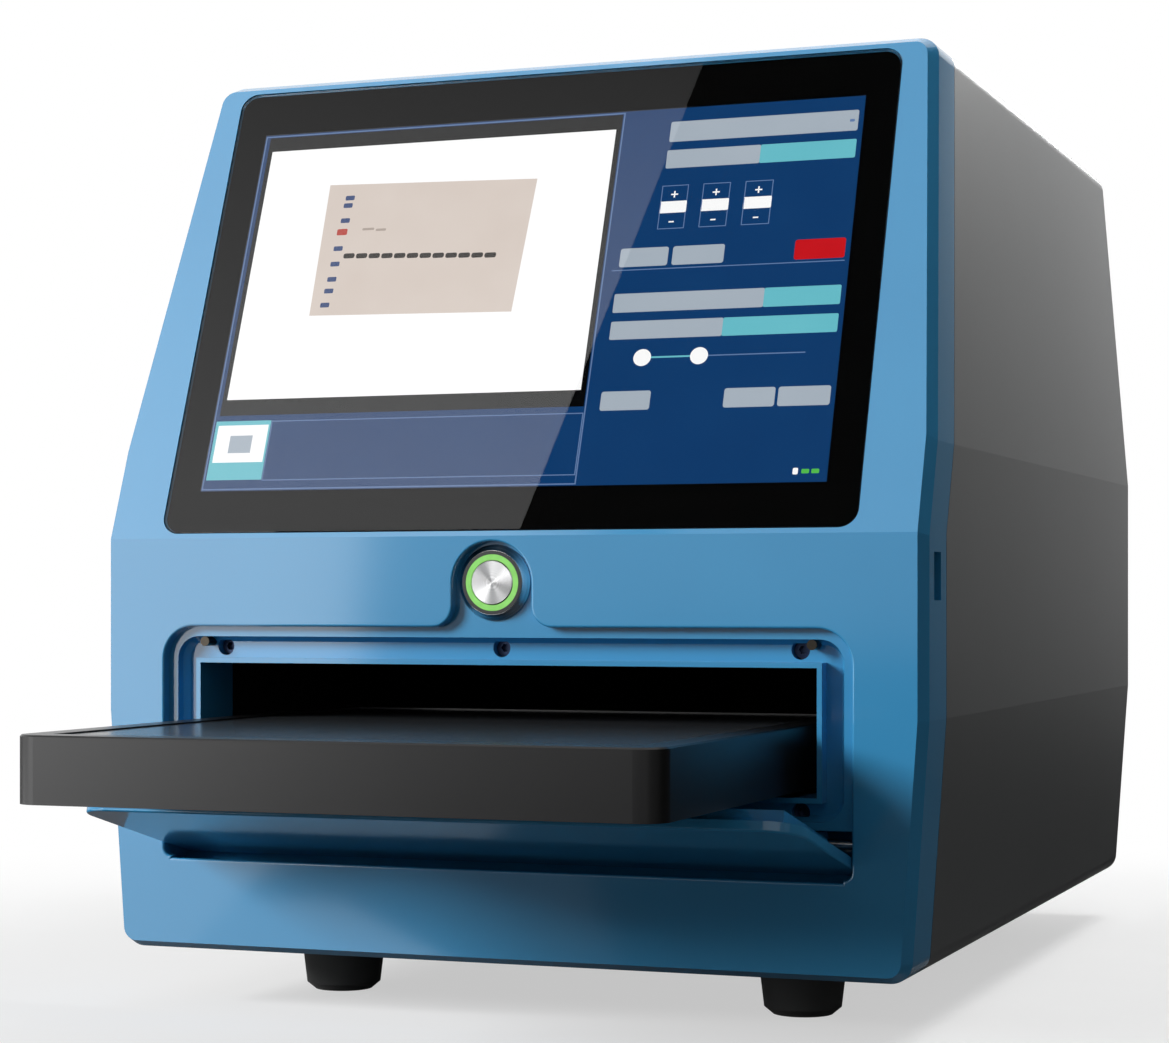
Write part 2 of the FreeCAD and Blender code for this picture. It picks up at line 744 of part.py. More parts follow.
def make_base_pan():
    """Bottom plate with vent slots under the drive and a hole above each foot."""
    plate = slab("base_plate", "base_half - fit_gap",
                 ("rim_deep + band + seam + 0.5", "depth - base_back - fit_gap"),
                 ("0", "cover_wall"))
    tools = []
    for number in range(10):
        tools.append(box(f"base_vent_{number}", (f"-60 + {12.5 * number}", "200", "-1"),
                         ("5", "70", "6")))
    for number, (across, along) in enumerate(FOOT_PLACES):
        tools.append(rod(f"foot_hole_{number}", "Z", (across, along, "-1"), "2.1", "6"))
    return seat(cut("base_pan_cut", plate, *tools), "base_pan")


FOOT_PLACES = [(across, along) for across in ("-foot_side", "foot_side")
               for along in ("foot_front", "foot_back")]


def make_feet():
    feet = []
    screws = []
    for number, (across, along) in enumerate(FOOT_PLACES):
        owner = turned(f"foot_{number}", [
            ("2.1", "0"), ("foot_radius", "0"),
            ("foot_tip + foot_bevel * 0.2", "foot_bevel - foot_drop"),
            ("foot_tip - foot_bevel", "-foot_drop"), ("5", "-foot_drop"), ("5", "-9"), ("2.1", "-9")])
        feet.append(put(owner, (across, along, "0")))
        head = rod(f"foot_screw_head_{number}", "Z", (across, along, "-12"), "3.8", "3")
        shank = rod(f"foot_screw_shank_{number}", "Z", (across, along, "-9"), "2", "15")
        screws.append(fuse(f"foot_screw_{number}", head, shank))
    node("rubber_feet", *feet)
    node("foot_screws", *screws)


# ---- mouth fasteners, flap and its hinge -------------------------------------------------


def cap_screw(name, axis, at, head_radius, head_tall, radius, length):
    """A socket cap screw whose head starts at `at`; the shank runs on along the axis."""
    head = rod(name + "_head", axis, at, head_radius, head_tall)
    along = [at[0], at[1], at[2]]
    step = "xyz".index(axis.lower())
    along[step] = f"{at[step]} + {head_tall}"
    shank = rod(name + "_shank", axis, along, radius, length)
    key = doc.addObject("Part::Prism", name + "_key")
    key.Polygon = 6
    bind(key, Circumradius=f"{head_radius} * 0.52", Height=f"{head_tall} * 0.6 + 1")
    socket_at = [at[0], at[1], at[2]]
    socket_at[step] = f"{at[step]} - 1"
    put(key, socket_at, axis)
    return cut(name, fuse(name + "_blank", head, shank), key)


def make_mouth_fasteners():
    screws = []
    for number, (across, up) in enumerate(SCREW_PLACES):
        screws.append(cap_screw(f"mouth_screw_{number}", "Y", (across, "floor_deep + screw_sink - 3", up),
                                "2.75", "3", "1.5", "6"))
    node("bezel_screws", *screws)
    magnets = [rod(f"magnet_{sign}", "Y", (f"{sign}magnet_side", "lip_front", "magnet_high"),
                   "magnet_radius", "floor_deep - lip_front") for sign in ("", "-")]
    node("flap_magnets", *magnets)


def make_flap():
    """Spring flap: a painted skin, a light-trap rib round the mouth's lip, two knuckles."""
    owner = body("flap")
    low = "recess_low + flap_gap - pin_high"
    high = "recess_high - flap_gap - pin_high"
    face = "-pin_deep"
    pad(owner, "XZ", rectangle("recess_half - flap_gap", low, high), face, "flap_skin")
    side = size.recess_half - size.flap_gap
    top = size.recess_high - size.flap_gap - size.pin_high
    foot = size.recess_low + size.flap_gap - size.pin_high
    soften(owner, "recess_round - flap_gap", lambda edge: lies(edge, "y", a=side, z=top))
    soften(owner, "recess_foot_round - flap_gap", lambda edge: lies(edge, "y", a=side, z=foot))
    soften(owner, "flap_edge", lambda edge: lies(edge, y=-size.pin_deep))

    back = "flap_skin - pin_deep"
    gap = "lip_wide + flap_rib_gap"
    rib = rectangle(f"mouth_half + {gap} + flap_rib_wide",
                    f"mouth_low - {gap} - flap_rib_wide - pin_high",
                    f"mouth_high + {gap} + flap_rib_wide - pin_high")
    hole = rectangle(f"mouth_half + {gap}", f"mouth_low - {gap} - pin_high",
                     f"mouth_high + {gap} - pin_high")
    pad(owner, "XZ", rib, f"{back} - 0.5", "flap_rib_deep + 0.5")
    pocket(owner, "XZ", hole, back, "flap_rib_deep + 1")
    inner = "mouth_half - 2"
    plate = rectangle(inner, "mouth_low + 2 - pin_high", "mouth_high - 2 - pin_high")
    pad(owner, "XZ", plate, f"{back} - 0.5", "flap_grid_deep + 0.5")
    cells_across = 5
    web = "flap_grid_wide"
    cell = f"(2 * (mouth_half - 2) - {web}) / {cells_across}"
    tools = []
    halves = (("mouth_low + 2", "mouth_middle"), ("mouth_middle", "mouth_high - 2"))
    for row, (below, above) in enumerate(halves):
        for number in range(cells_across):
            left = f"-({inner}) + {web} + {number} * {cell}"
            tools.append(box(f"flap_cell_{row}_{number}", (left, back, f"{below} + {web} / 2 - pin_high"),
                             (f"{cell} - {web}", "20", f"{above} - {below} - {web}")))
    panel = cut("flap_panel", owner, *tools)
    knuckles = []
    for number, start in enumerate(("knuckle_out - knuckle_long", "-knuckle_out")):
        barrel = rod(f"knuckle_{number}", "X", (start, "0", "0"), "knuckle_radius", "knuckle_long")
        web_box = box(f"knuckle_web_{number}", (start, f"{back} - 0.5", "-knuckle_radius"),
                      ("knuckle_long", "pin_deep - flap_skin + 0.5", "2 * knuckle_radius"))
        knuckles += [barrel, web_box]
    bore = rod("knuckle_bore", "X", ("-recess_half", "0", "0"), "pin_radius + pin_fit",
               "2 * recess_half")
    return seat(cut("flap_cut", fuse("flap_whole", panel, *knuckles), bore), "flap_door", **FLAP)


def make_hinge_pins():
    pins = [rod(f"hinge_pin_{number}", "X", (start, "pin_deep", "pin_high"), "pin_radius",
                "recess_half + tub_wall - pin_inner")
            for number, start in enumerate(("pin_inner", "-(recess_half + tub_wall)"))]
    node("hinge_pins", *pins)


# ---- push button -------------------------------------------------------------------------


def make_button():
    """Ring-lit push switch: turned parts on one axis that points out of the front."""
    at = ("0", "ledge_deep", "button_high")
    held = {"at": at, "turn": "-Y"}
    shell = turned("button_shell", [
        ("0", "-20"), ("barrel_radius", "-20"), ("barrel_radius", "0"), ("flange_radius", "0"),
        ("flange_radius", "0.6"), ("flange_front", "flange_high"), ("ring_radius + 0.1", "flange_high"),
        ("ring_radius + 0.1", "-3"), ("ring_bore + 0.1", "-3"), ("ring_bore + 0.1", "-14"), ("0", "-14")])
    seat(shell, "button_body", **held)
    trim = turned("button_trim", [
        ("ring_radius + 0.1", "flange_high"), ("flange_front - 0.1", "flange_high"),
        ("flange_front - 0.1", "flange_high + trim_thick"),
        ("ring_radius + 0.1", "flange_high + trim_thick")])
    seat(trim, "button_trim_ring", **held)
    ring = turned("button_ring", [
        ("ring_bore", "-3"), ("ring_radius", "-3"), ("ring_radius", "flange_high + trim_thick"),
        ("ring_bore", "flange_high + trim_thick")])
    seat(ring, "button_light_ring", **held)
    cap = turned("button_cap_body", [
        ("0", "-11.5"), ("cap_radius", "-11.5"), ("cap_radius", "flange_high + cap_proud - 0.2"),
        ("cap_radius - 0.3", "flange_high + cap_proud"), ("0", "flange_high + cap_proud")])
    seat(cap, "button_cap", **held)
    nut = doc.addObject("Part::Prism", "button_nut_hex")
    nut.Polygon = 6
    bind(nut, Circumradius="12.6", Height="3")
    put(nut, ("0", "ledge_deep + arch_wall", "button_high"), "Y")
    bore = rod("button_nut_bore", "Y", ("0", "ledge_deep + arch_wall - 1", "button_high"),
               "barrel_radius", "5")
    seat(cut("button_nut_cut", nut, bore), "button_nut")


# ---- display, in the frame of the sloping face ----------------------------------------------


def make_display():
    glass = body("glass")
    pad(glass, "XZ", rectangle("glass_half", "glass_low", "glass_high"), "0", "glass_thick")
    soften(glass, "glass_round", lambda edge: lies(edge, "y"))
    dress(glass, "Chamfer", lambda edge: lies(edge, y=0.0), Size="glass_bevel")
    seat(glass, "cover_glass", **DISPLAY)

    lcd = body("lcd")
    wall = "bezel_wall * cos(tilt) + 0.1"
    pad(lcd, "XZ", rectangle("screen_half + lcd_margin", "screen_low - lcd_margin",
                             "screen_low + screen_tall + lcd_margin"), wall, "lcd_thick")
    pad(lcd, "XZ", rectangle("screen_half + 1.5", "screen_low - 1.5", "screen_low + screen_tall + 1.5"),
        "glass_thick + 0.3", "3")
    seat(lcd, "lcd_panel", **DISPLAY)

    behind = "bracket_set + bracket_thick"
    plate = slab("bracket_plate", "bracket_half", ("bracket_set", behind),
                 ("glass_low + 2", "glass_high - 2"))
    tools = []
    bay = "(2 * (screen_half - bracket_bay) + bracket_rib) / 3"
    for number in range(3):
        tools.append(box(f"bracket_window_{number}",
                         (f"bracket_bay - screen_half + {number} * {bay}", "5", "screen_low + 8"),
                         (f"{bay} - bracket_rib", "10", "screen_tall - driver_tall - 18")))
    for number, (across, up) in enumerate(BRACKET_PLACES):
        tools.append(rod(f"bracket_hole_{number}", "Y", (across, "5", up), "1.7", "10"))
    seat(cut("bracket_cut", plate, *tools), "display_bracket", **DISPLAY)
    screws = [rod(f"bracket_screw_shank_{number}", "Y", (across, "4.2", up), "1.25",
                  f"{behind} - 4.2") for number, (across, up) in enumerate(BRACKET_PLACES)]
    heads = [rod(f"bracket_screw_head_{number}", "Y", (across, behind, up), "2.6", "1.6")
             for number, (across, up) in enumerate(BRACKET_PLACES)]
    screws = [fuse(f"bracket_screw_{number}", *parts) for number, parts in enumerate(zip(screws, heads))]
    seat(group("bracket_screws_set", *screws), "bracket_screws", **DISPLAY)
    top = "screen_low + screen_tall - driver_edge"
    board = slab("display_board_plate", "driver_half", (f"{behind} + 2.5", f"{behind} + 2.5 + board_thick"),
                 (f"{top} - driver_tall", top))
    posts = [rod(f"display_post_{number}", "Y", (across, behind, up), "2", "2.5")
             for number, (across, up) in enumerate(
                 (a, b) for a in ("5 - driver_half", "driver_half - 5")
                 for b in (f"{top} - driver_tall + 4", f"{top} - 4"))]
    seat(fuse("display_board_whole", board, *posts), "display_board", **DISPLAY)


# ---- sample tray and its slide --------------------------------------------------------------


def make_tray():
    """Cast tray: rounded front corners, a shallow well on top, ribbed pockets underneath."""
    owner = body("tray")
    back = "tray_long - tray_reach"
    plan = [("-tray_half", "-tray_reach"), ("tray_half", "-tray_reach"),
            ("tray_half", back), ("-tray_half", back)]
    pad(owner, "XY", plan, "tray_low", "tray_tall")
    soften(owner, "tray_round", lambda edge: lies(edge, "z", y=-size.tray_reach))
    dress(owner, "Chamfer", lambda edge: lies(edge, z=size.tray_low + size.tray_tall),
          Size="tray_edge")
    well = [("-(tray_half - tray_rim)", "tray_rim - tray_reach"),
            ("tray_half - tray_rim", "tray_rim - tray_reach"),
            ("tray_half - tray_rim", f"{back} - tray_rim"),
            ("-(tray_half - tray_rim)", f"{back} - tray_rim")]
    pocket(owner, "XY", well, "tray_low + tray_tall - well_deep", "well_deep + 1")
    columns, rows = 4, 4
    across = f"(2 * tray_half - tray_rib) / {columns}"
    along = f"(tray_long - tray_rib) / {rows}"
    tools = []
    for column in range(columns):
        for row in range(rows):
            tools.append(box(f"tray_cell_{column}_{row}",
                             (f"-tray_half + tray_rib + {column} * {across}",
                              f"-tray_reach + tray_rib + {row} * {along}", "tray_low - 1"),
                             (f"{across} - tray_rib", f"{along} - tray_rib",
                              "tray_tall - well_deep - 3")))
    for number, (side, deep) in enumerate(CARRIAGE_SCREWS):
        tools.append(rod(f"tray_tap_{number}", "Z", (side, deep, "tray_low - 1"), "1.6", "9"))
    bosses = [rod(f"tray_boss_{number}", "Z", (side, deep, "tray_low"), "5",
                  "tray_tall - well_deep - 1") for number, (side, deep) in enumerate(CARRIAGE_SCREWS)]
    hollow = cut("tray_hollow", owner, *tools[:columns * rows])
    seat(cut("tray_cut", fuse("tray_bossed", hollow, *bosses), *tools[columns * rows:]), "tray_body")

    plate = body("stage")
    half = "tray_half - tray_rim - fit_gap"
    plan = [(f"-({half})", "tray_rim + fit_gap - tray_reach"), (half, "tray_rim + fit_gap - tray_reach"),
            (half, f"{back} - tray_rim - fit_gap"), (f"-({half})", f"{back} - tray_rim - fit_gap")]
    pad(plate, "XY", plan, "tray_low + tray_tall - well_deep", "stage_thick")
    soften(plate, "1.5", lambda edge: lies(edge, "z"))
    seat(plate, "stage_plate")


CARRIAGE_SCREWS = [(across, along) for across in ("-34", "34")
                   for along in ("carriage_front + 8", "carriage_front + carriage_long - 8")]


def make_slide():
    """Two guide rails on the deck, a block on each, and the carriage that joins them."""
    rails = []
    blocks = []
    for number, across in enumerate(("-rail_side", "rail_side")):
        rail = body(f"rail_{number}")
        half = "rail_wide / 2"
        neck = "rail_wide / 2 - 1.2"
        right = [(half, "0"), (half, "2.4"), (neck, "3.6"), (neck, "5"), (half, "6.2"), (half, "rail_tall")]
        left = [(f"-({out})", up) for out, up in reversed(right)]
        pad(rail, "XZ", right + left, "0", "rail_long")
        rails.append(put(rail, (across, "rail_front", "deck_high")))

        block = body(f"block_{number}")
        inner = f"{half} + slide_gap"
        outer = "block_wide / 2"
        top = "carriage_low - deck_high"
        right = [(inner, "rail_tall + slide_gap"), (inner, "3"), (outer, "3"), (outer, top)]
        left = [(f"-({out})", up) for out, up in reversed(right)]
        pad(block, "XZ", right + left, "0", "block_long")
        blocks.append(put(block, (across, "block_back - block_long", "deck_high")))
    node("slide_rails", *rails)
    node("slide_blocks", *blocks)

    carriage = slab("carriage_plate", "carriage_half",
                    ("carriage_front", "carriage_front + carriage_long"), ("carriage_low", "tray_low"))
    tools = []
    for number, left in enumerate(("-22", "4")):
        tools.append(box(f"carriage_window_{number}", (left, "carriage_front + 40", "deck_high"),
                         ("18", "16", "40")))
    for number, (across, along) in enumerate(CARRIAGE_SCREWS):
        tools.append(rod(f"carriage_hole_{number}", "Z", (across, along, "deck_high"), "1.7", "40"))
        tools.append(rod(f"carriage_seat_{number}", "Z", (across, along, "carriage_low - 1"),
                         "3.2", "4.4"))
    seat(cut("carriage_cut", carriage, *tools), "tray_carriage")
    screws = [cap_screw(f"carriage_screw_{number}", "Z", (across, along, "carriage_low + 0.4"),
                        "2.75", "3", "1.5", "10")
              for number, (across, along) in enumerate(CARRIAGE_SCREWS)]
    node("carriage_screws", *screws)


def make_drive():
    """Lead-screw drive: motor at the back, screw through the nut block under the carriage."""
    long = "motor_front - 18 - 31"
    spindle = rod("spindle_rod", "Y", ("0", "31", "screw_high"), "screw_radius", long)
    collar = rod("spindle_collar", "Y", ("0", "41.4", "screw_high"), "6.5", "4")
    coupler = rod("spindle_coupler", "Y", ("0", "motor_front - 22", "screw_high"), "8", "18")
    shaft_hole = rod("coupler_hole", "Y", ("0", "motor_front - 13", "screw_high"),
                     "motor_shaft_radius", "20")
    seat(cut("spindle_cut", fuse("spindle_whole", spindle, collar, coupler), shaft_hole), "lead_screw")

    holder = slab("front_bearing_block", "12", ("30", "40"), ("deck_floor", "deck_high"))
    bearing_bore = rod("bearing_bore", "Y", ("0", "20", "screw_high"), "screw_radius + screw_fit", "30")
    seat(cut("screw_bearing_cut", holder, bearing_bore), "screw_bearing")

    nut_block = slab("nut_block", "13", ("carriage_front + 24", "carriage_front + 36"),
                     ("screw_high - 9", "carriage_low"))
    nut_bore = rod("nut_bore", "Y", ("0", "carriage_front", "screw_high"), "screw_radius + screw_fit", "60")
    seat(cut("nut_cut", nut_block, nut_bore), "screw_nut")

    motor = body("motor")
    half = "motor_size / 2"
    corners = rectangle(half, f"-({half})", half)
    pad(motor, "XZ", corners, "0", "motor_long")
    dress(motor, "Chamfer", lambda edge: lies(edge, "y"), Size="4")
    boss = rod("motor_boss", "Y", ("0", "-2", "0"), "11", "3")
    bore = rod("motor_bore", "Y", ("0", "-3", "0"), "motor_shaft_radius + screw_fit", "20")
    whole = cut("motor_cut", fuse("motor_whole", motor, boss), bore)
    seat(whole, "drive_motor", at=("0", "motor_front", "screw_high"))
    shaft = rod("motor_shaft_rod", "Y", ("0", "motor_front - 13", "screw_high"), "motor_shaft_radius", "29")
    seat(group("motor_shaft_set", shaft), "motor_shaft")

    plate = slab("motor_plate", "24", ("motor_front - 2", "motor_front"), ("deck_floor", "screw_high + 22"))
    foot = slab("motor_plate_foot", "24", ("motor_front - 14", "motor_front"),
                ("deck_floor", "deck_floor + 0.9"))
    pilot = rod("motor_plate_hole", "Y", ("0", "motor_front - 5", "screw_high"), "11.2", "10")
    seat(cut("motor_bracket_cut", fuse("motor_bracket_whole", plate, foot), pilot), "motor_bracket")


def make_deck():
    """Folded chassis deck: outer legs, flanges for the rails, and a channel for the drive."""
    owner = body("deck")
    t = "sheet_thick"
    right = [("channel_half", "deck_low"), ("channel_half", f"deck_high - {t}"),
             (f"deck_half - {t}", f"deck_high - {t}"), (f"deck_half - {t}", "deck_low"),
             ("deck_half", "deck_low"), ("deck_half", "deck_high"),
             (f"channel_half - {t}", "deck_high"), (f"channel_half - {t}", f"deck_low + {t}")]
    left = [(f"-({across})", up) for across, up in reversed(right)]
    pad(owner, "XZ", right + left, "deck_front", "deck_back - deck_front")
    return seat(owner, "chassis_deck")


# ---- imaging chamber, camera and lights -----------------------------------------------------


def chamber_profile(inset, below):
    """Side view of the chamber: a tunnel at the mouth, then the tall part behind it."""
    front = f"tub_deep + {inset}"
    return [(f"tub_back + {inset}", f"deck_high - {below}"),
            (f"tub_back + {inset}", f"tunnel_low + {inset}"), (front, f"tunnel_low + {inset}"),
            (front, f"tunnel_top - {inset}"), (f"chamber_front + {inset}", f"tunnel_top - {inset}"),
            (f"chamber_front + {inset}", "bend + 28"),
            (f"chamber_front + 16 + {inset}", f"chamber_top - {inset}"),
            (f"chamber_back - {inset}", f"chamber_top - {inset}"),
            (f"chamber_back - {inset}", f"deck_high - {below}")]


def make_chamber():
    owner = body("chamber")
    pad(owner, "YZ", chamber_profile("0", "0"), None, "2 * chamber_half")
    pocket(owner, "YZ", chamber_profile("chamber_wall", "5"), None, "2 * (chamber_half - chamber_wall)")
    front = slab("chamber_flange", "chamber_half", ("tub_deep + 0.1", "tub_deep + 1.6"),
                 ("tunnel_low", "recess_high - 1"))
    passing = "(collar_wall + fit_gap)"
    mouth = slab("chamber_mouth", f"mouth_half + {passing}", ("tub_deep - 1", "tub_deep + 5"),
                 (f"mouth_low - {passing}", f"mouth_high + {passing}"))
    tools = [mouth, rod("lens_hole", "Z", ("0", "camera_deep", "chamber_top - 10"), "24", "20")]
    for number, (across, up) in enumerate(SCREW_PLACES):
        tools.append(rod(f"flange_hole_{number}", "Y", (across, "tub_deep - 2", up), "1.6", "8"))
    return seat(cut("chamber_cut", fuse("chamber_whole", owner, front), *tools), "chamber_box")


def make_camera():
    middle = ("0", "camera_deep", "0")
    posts = [rod(f"camera_post_{number}", "Z", (across, f"camera_deep + {along}", "chamber_top"), "4",
                 "plate_low - chamber_top") for number, (across, along) in enumerate(
                     (a, b) for a in ("-38", "38") for b in ("-38", "38"))]
    plate = box("camera_plate", ("-44", "camera_deep - 44", "plate_low"), ("88", "88", "3"))
    hole = rod("camera_plate_hole", "Z", ("0", "camera_deep", "plate_low - 1"), "20", "6")
    whole = fuse("camera_bracket_whole", plate, *posts)
    seat(cut("camera_bracket_cut", whole, hole), "camera_bracket")

    shell = body("camera")
    half = "camera_half"
    plan = rectangle(half, f"-({half})", half)
    pad(shell, "XY", plan, "camera_low", "camera_tall")
    soften(shell, "4", lambda edge: lies(edge, "z"))
    seat(shell, "camera_body", at=middle)

    base = box("sink_base", ("-28", "camera_deep - 28", "camera_low + camera_tall"),
               ("56", "56", "2.5"))
    fins = [box(f"sink_fin_{number}", (f"-28 + {6.75 * number}", "camera_deep - 28",
                                       "camera_low + camera_tall + 2.5"), ("2", "56", "7"))
            for number in range(9)]
    seat(fuse("camera_sink", base, *fins), "camera_heat_sink")

    barrel = turned("lens", [
        ("11", "lens_low"), ("lens_radius", "lens_low"), ("lens_radius", "camera_low"),
        ("9", "camera_low"), ("9", "lens_low + 6"), ("11", "lens_low + 6")])
    seat(barrel, "lens_barrel", at=middle)
    front = turned("lens_front", [("0", "lens_low + 1.5"), ("11", "lens_low + 1.5"),
                                  ("11", "lens_low + 4"), ("6", "lens_low + 5.5"), ("0", "lens_low + 6")])
    seat(front, "lens_glass", at=middle)

    ring = turned("focus", [("lens_radius + focus_fit", "focus_low"), ("focus_radius", "focus_low"),
                            ("focus_radius", "focus_low + focus_tall"),
                            ("lens_radius + focus_fit", "focus_low + focus_tall")])
    grooves = []
    for number in range(24):
        groove = box(f"focus_groove_{number}", ("focus_radius - 0.8", "-0.9", "focus_low + 2"),
                     ("4", "1.8", "focus_tall - 4"))
        turn = Rotation(Vector(0, 0, 1), 360 / 24 * number)
        holder = group(f"focus_groove_set_{number}", groove)
        holder.Placement.Rotation = turn
        grooves.append(holder)
    seat(cut("focus_cut", ring, *grooves), "focus_ring", at=middle)

    holder = turned("filter_ring_body", [
        ("lens_radius - 4", "lens_low - 5"), ("lens_radius + 2", "lens_low - 5"),
        ("lens_radius + 2", "lens_low"), ("lens_radius - 4", "lens_low"),
        ("lens_radius - 4", "lens_low - 1.2"), ("lens_radius", "lens_low - 1.2"),
        ("lens_radius", "lens_low - 3.8"), ("lens_radius - 4", "lens_low - 3.8")])
    seat(holder, "filter_ring", at=middle)
    filter_glass = turned("filter_disc", [
        ("0", "lens_low - 3.7"), ("lens_radius - 0.1", "lens_low - 3.7"),
        ("lens_radius - 0.1", "lens_low - 1.3"), ("0", "lens_low - 1.3")])
    seat(filter_glass, "emission_filter", at=middle)


def make_lights():
    """A white light bar high on each side wall of the chamber, with its diffuser."""
    bars = []
    covers = []
    for number, sign in enumerate(("", "-")):
        wall = "chamber_half - chamber_wall"
        left = f"{wall} - 9" if sign == "" else f"-({wall})"
        bars.append(box(f"light_bar_{number}", (left, "camera_deep - 75", "chamber_top - 42"),
                        ("9", "150", "16")))
        under = f"{wall} - 8" if sign == "" else f"-({wall}) + 1"
        covers.append(box(f"light_cover_{number}", (under, "camera_deep - 73", "chamber_top - 45"),
                          ("7", "146", "3")))
    node("led_bars", *bars)
    node("led_diffusers", *covers)


# ---- electronics and the back ---------------------------------------------------------------


def make_electronics():
    face = "chamber_back + board_post + board_thick"
    board = slab("main_board_plate", "board_half", (f"{face} - board_thick", face),
                 ("board_low", "board_low + board_tall"))
    chips = [box(f"main_chip_{number}", (across, face, f"board_low + {up}"), (wide, "3", tall))
             for number, (across, up, wide, tall) in enumerate((
                 ("-60", "10", "30", "30"), ("-10", "4", "22", "14"), ("30", "40", "40", "12"),
                 ("-20", "70", "18", "18"), ("50", "80", "26", "20")))]
    seat(fuse("main_board_whole", board, *chips), "main_board")
    posts = [rod(f"board_post_{number}", "Y", (across, "chamber_back", up), "3", "board_post")
             for number, (across, up) in enumerate(
                 (a, b) for a in ("6 - board_half", "board_half - 6")
                 for b in ("board_low + 6", "board_low + board_tall - 6"))]
    node("board_standoffs", *posts)
    sink_base = box("cpu_sink_base", ("-60", f"{face} + 3", "board_low + 10"), ("30", "3", "30"))
    sink_fins = [box(f"cpu_sink_fin_{number}", (f"-60 + {number} * 28 / 6", f"{face} + 6", "board_low + 10"),
                     ("2", "9", "30")) for number in range(7)]
    seat(fuse("cpu_sink_whole", sink_base, *sink_fins), "processor_heat_sink")

    supply = body("supply")
    inner = "chamber_half - 2 - supply_wide"
    pad(supply, "XZ", [(inner, "deck_high"), ("chamber_half - 2", "deck_high"),
                       ("chamber_half - 2", "deck_high + supply_tall"),
                       (inner, "deck_high + supply_tall")], "chamber_back + board_post", "supply_long")
    seat(supply, "power_supply")


def make_fan():
    """Axial fan behind the grille: square frame, hub and seven pitched blades."""
    half = "fan_size / 2"
    front = "depth - panel_set - sheet_thick - fan_thick"
    frame = body("fan_housing")
    corners = [(f"fan_side - {half}", f"fan_high - {half}"), (f"fan_side + {half}", f"fan_high - {half}"),
               (f"fan_side + {half}", f"fan_high + {half}"), (f"fan_side - {half}", f"fan_high + {half}")]
    pad(frame, "XZ", corners, front, "fan_thick")
    soften(frame, "4", lambda edge: lies(edge, "y"))
    bore = rod("fan_frame_bore", "Y", ("fan_side", f"{front} + 2", "fan_high"), "fan_bore", "20")
    inlet = rod("fan_frame_open", "Y", ("fan_side", f"{front} - 1", "fan_high"), "fan_bore", "10")
    holes = [rod(f"fan_frame_hole_{number}", "Y", (across, f"{front} - 1", up), "1.7", "20")
             for number, (across, up) in enumerate(FAN_SCREWS)]
    hollow = cut("fan_frame_cut", frame, bore, inlet, *holes)
    struts = [box(f"fan_strut_{number}", ("-1.5", "0", "8"), ("3", "2", "fan_bore - 6"))
              for number in range(4)]
    spread = []
    for number, strut in enumerate(struts):
        holder = group(f"fan_strut_set_{number}", strut)
        put(holder, ("fan_side", front, "fan_high"))
        holder.Placement.Rotation = Rotation(Vector(0, 1, 0), 45 + 90 * number)
        spread.append(holder)
    mount = rod("fan_motor_mount", "Y", ("fan_side", front, "fan_high"), "fan_hub", "2")
    axle = rod("fan_axle", "Y", ("fan_side", front, "fan_high"), "1.5", "10")
    seat(fuse("fan_frame_whole", hollow, mount, axle, *spread), "fan_frame")

    hub = turned("fan_rotor_hub", [("1.55", "0"), ("fan_hub", "0"), ("fan_hub", "10"), ("0", "10"),
                                   ("0", "8.2"), ("1.55", "8.2")])
    blades = []
    for number in range(int(size.fan_blades)):
        blade = box(f"fan_blade_{number}", ("fan_hub - 2", "-fan_chord / 2", "-0.6"),
                    ("fan_bore - 2 * fan_tip_gap - fan_hub + 2", "fan_chord", "1.2"))
        blade.Placement.Rotation = Rotation(Vector(1, 0, 0), 1.0)
        blade.setExpression("Placement.Rotation.Angle", cells("fan_pitch"))
        blade.setExpression("Placement.Base.y", cells("-fan_chord / 2 * cos(fan_pitch)"))
        blade.setExpression("Placement.Base.z", cells("-fan_chord / 2 * sin(fan_pitch)"))
        holder = group(f"fan_blade_set_{number}", blade)
        put(holder, ("0", "0", "5.6"))
        holder.Placement.Rotation = Rotation(Vector(0, 0, 1), 360 / size.fan_blades * number)
        blades.append(holder)
    whole = fuse("fan_rotor_whole", hub, *blades)
    whole.Refine = False
    seat(whole, "fan_rotor",
         at=("fan_side", f"{front} + 2.4", "fan_high"), turn="Y")
    screws = []
    for number, (across, up) in enumerate(FAN_SCREWS):
        head = rod(f"fan_screw_head_{number}", "Y", (across, "depth - panel_set", up), "2.8", "1.8")
        shank = rod(f"fan_screw_shank_{number}", "Y", (across, "depth - panel_set - 16", up), "1.5", "16")
        screws.append(fuse(f"fan_screw_{number}", head, shank))
    node("fan_screws", *screws)


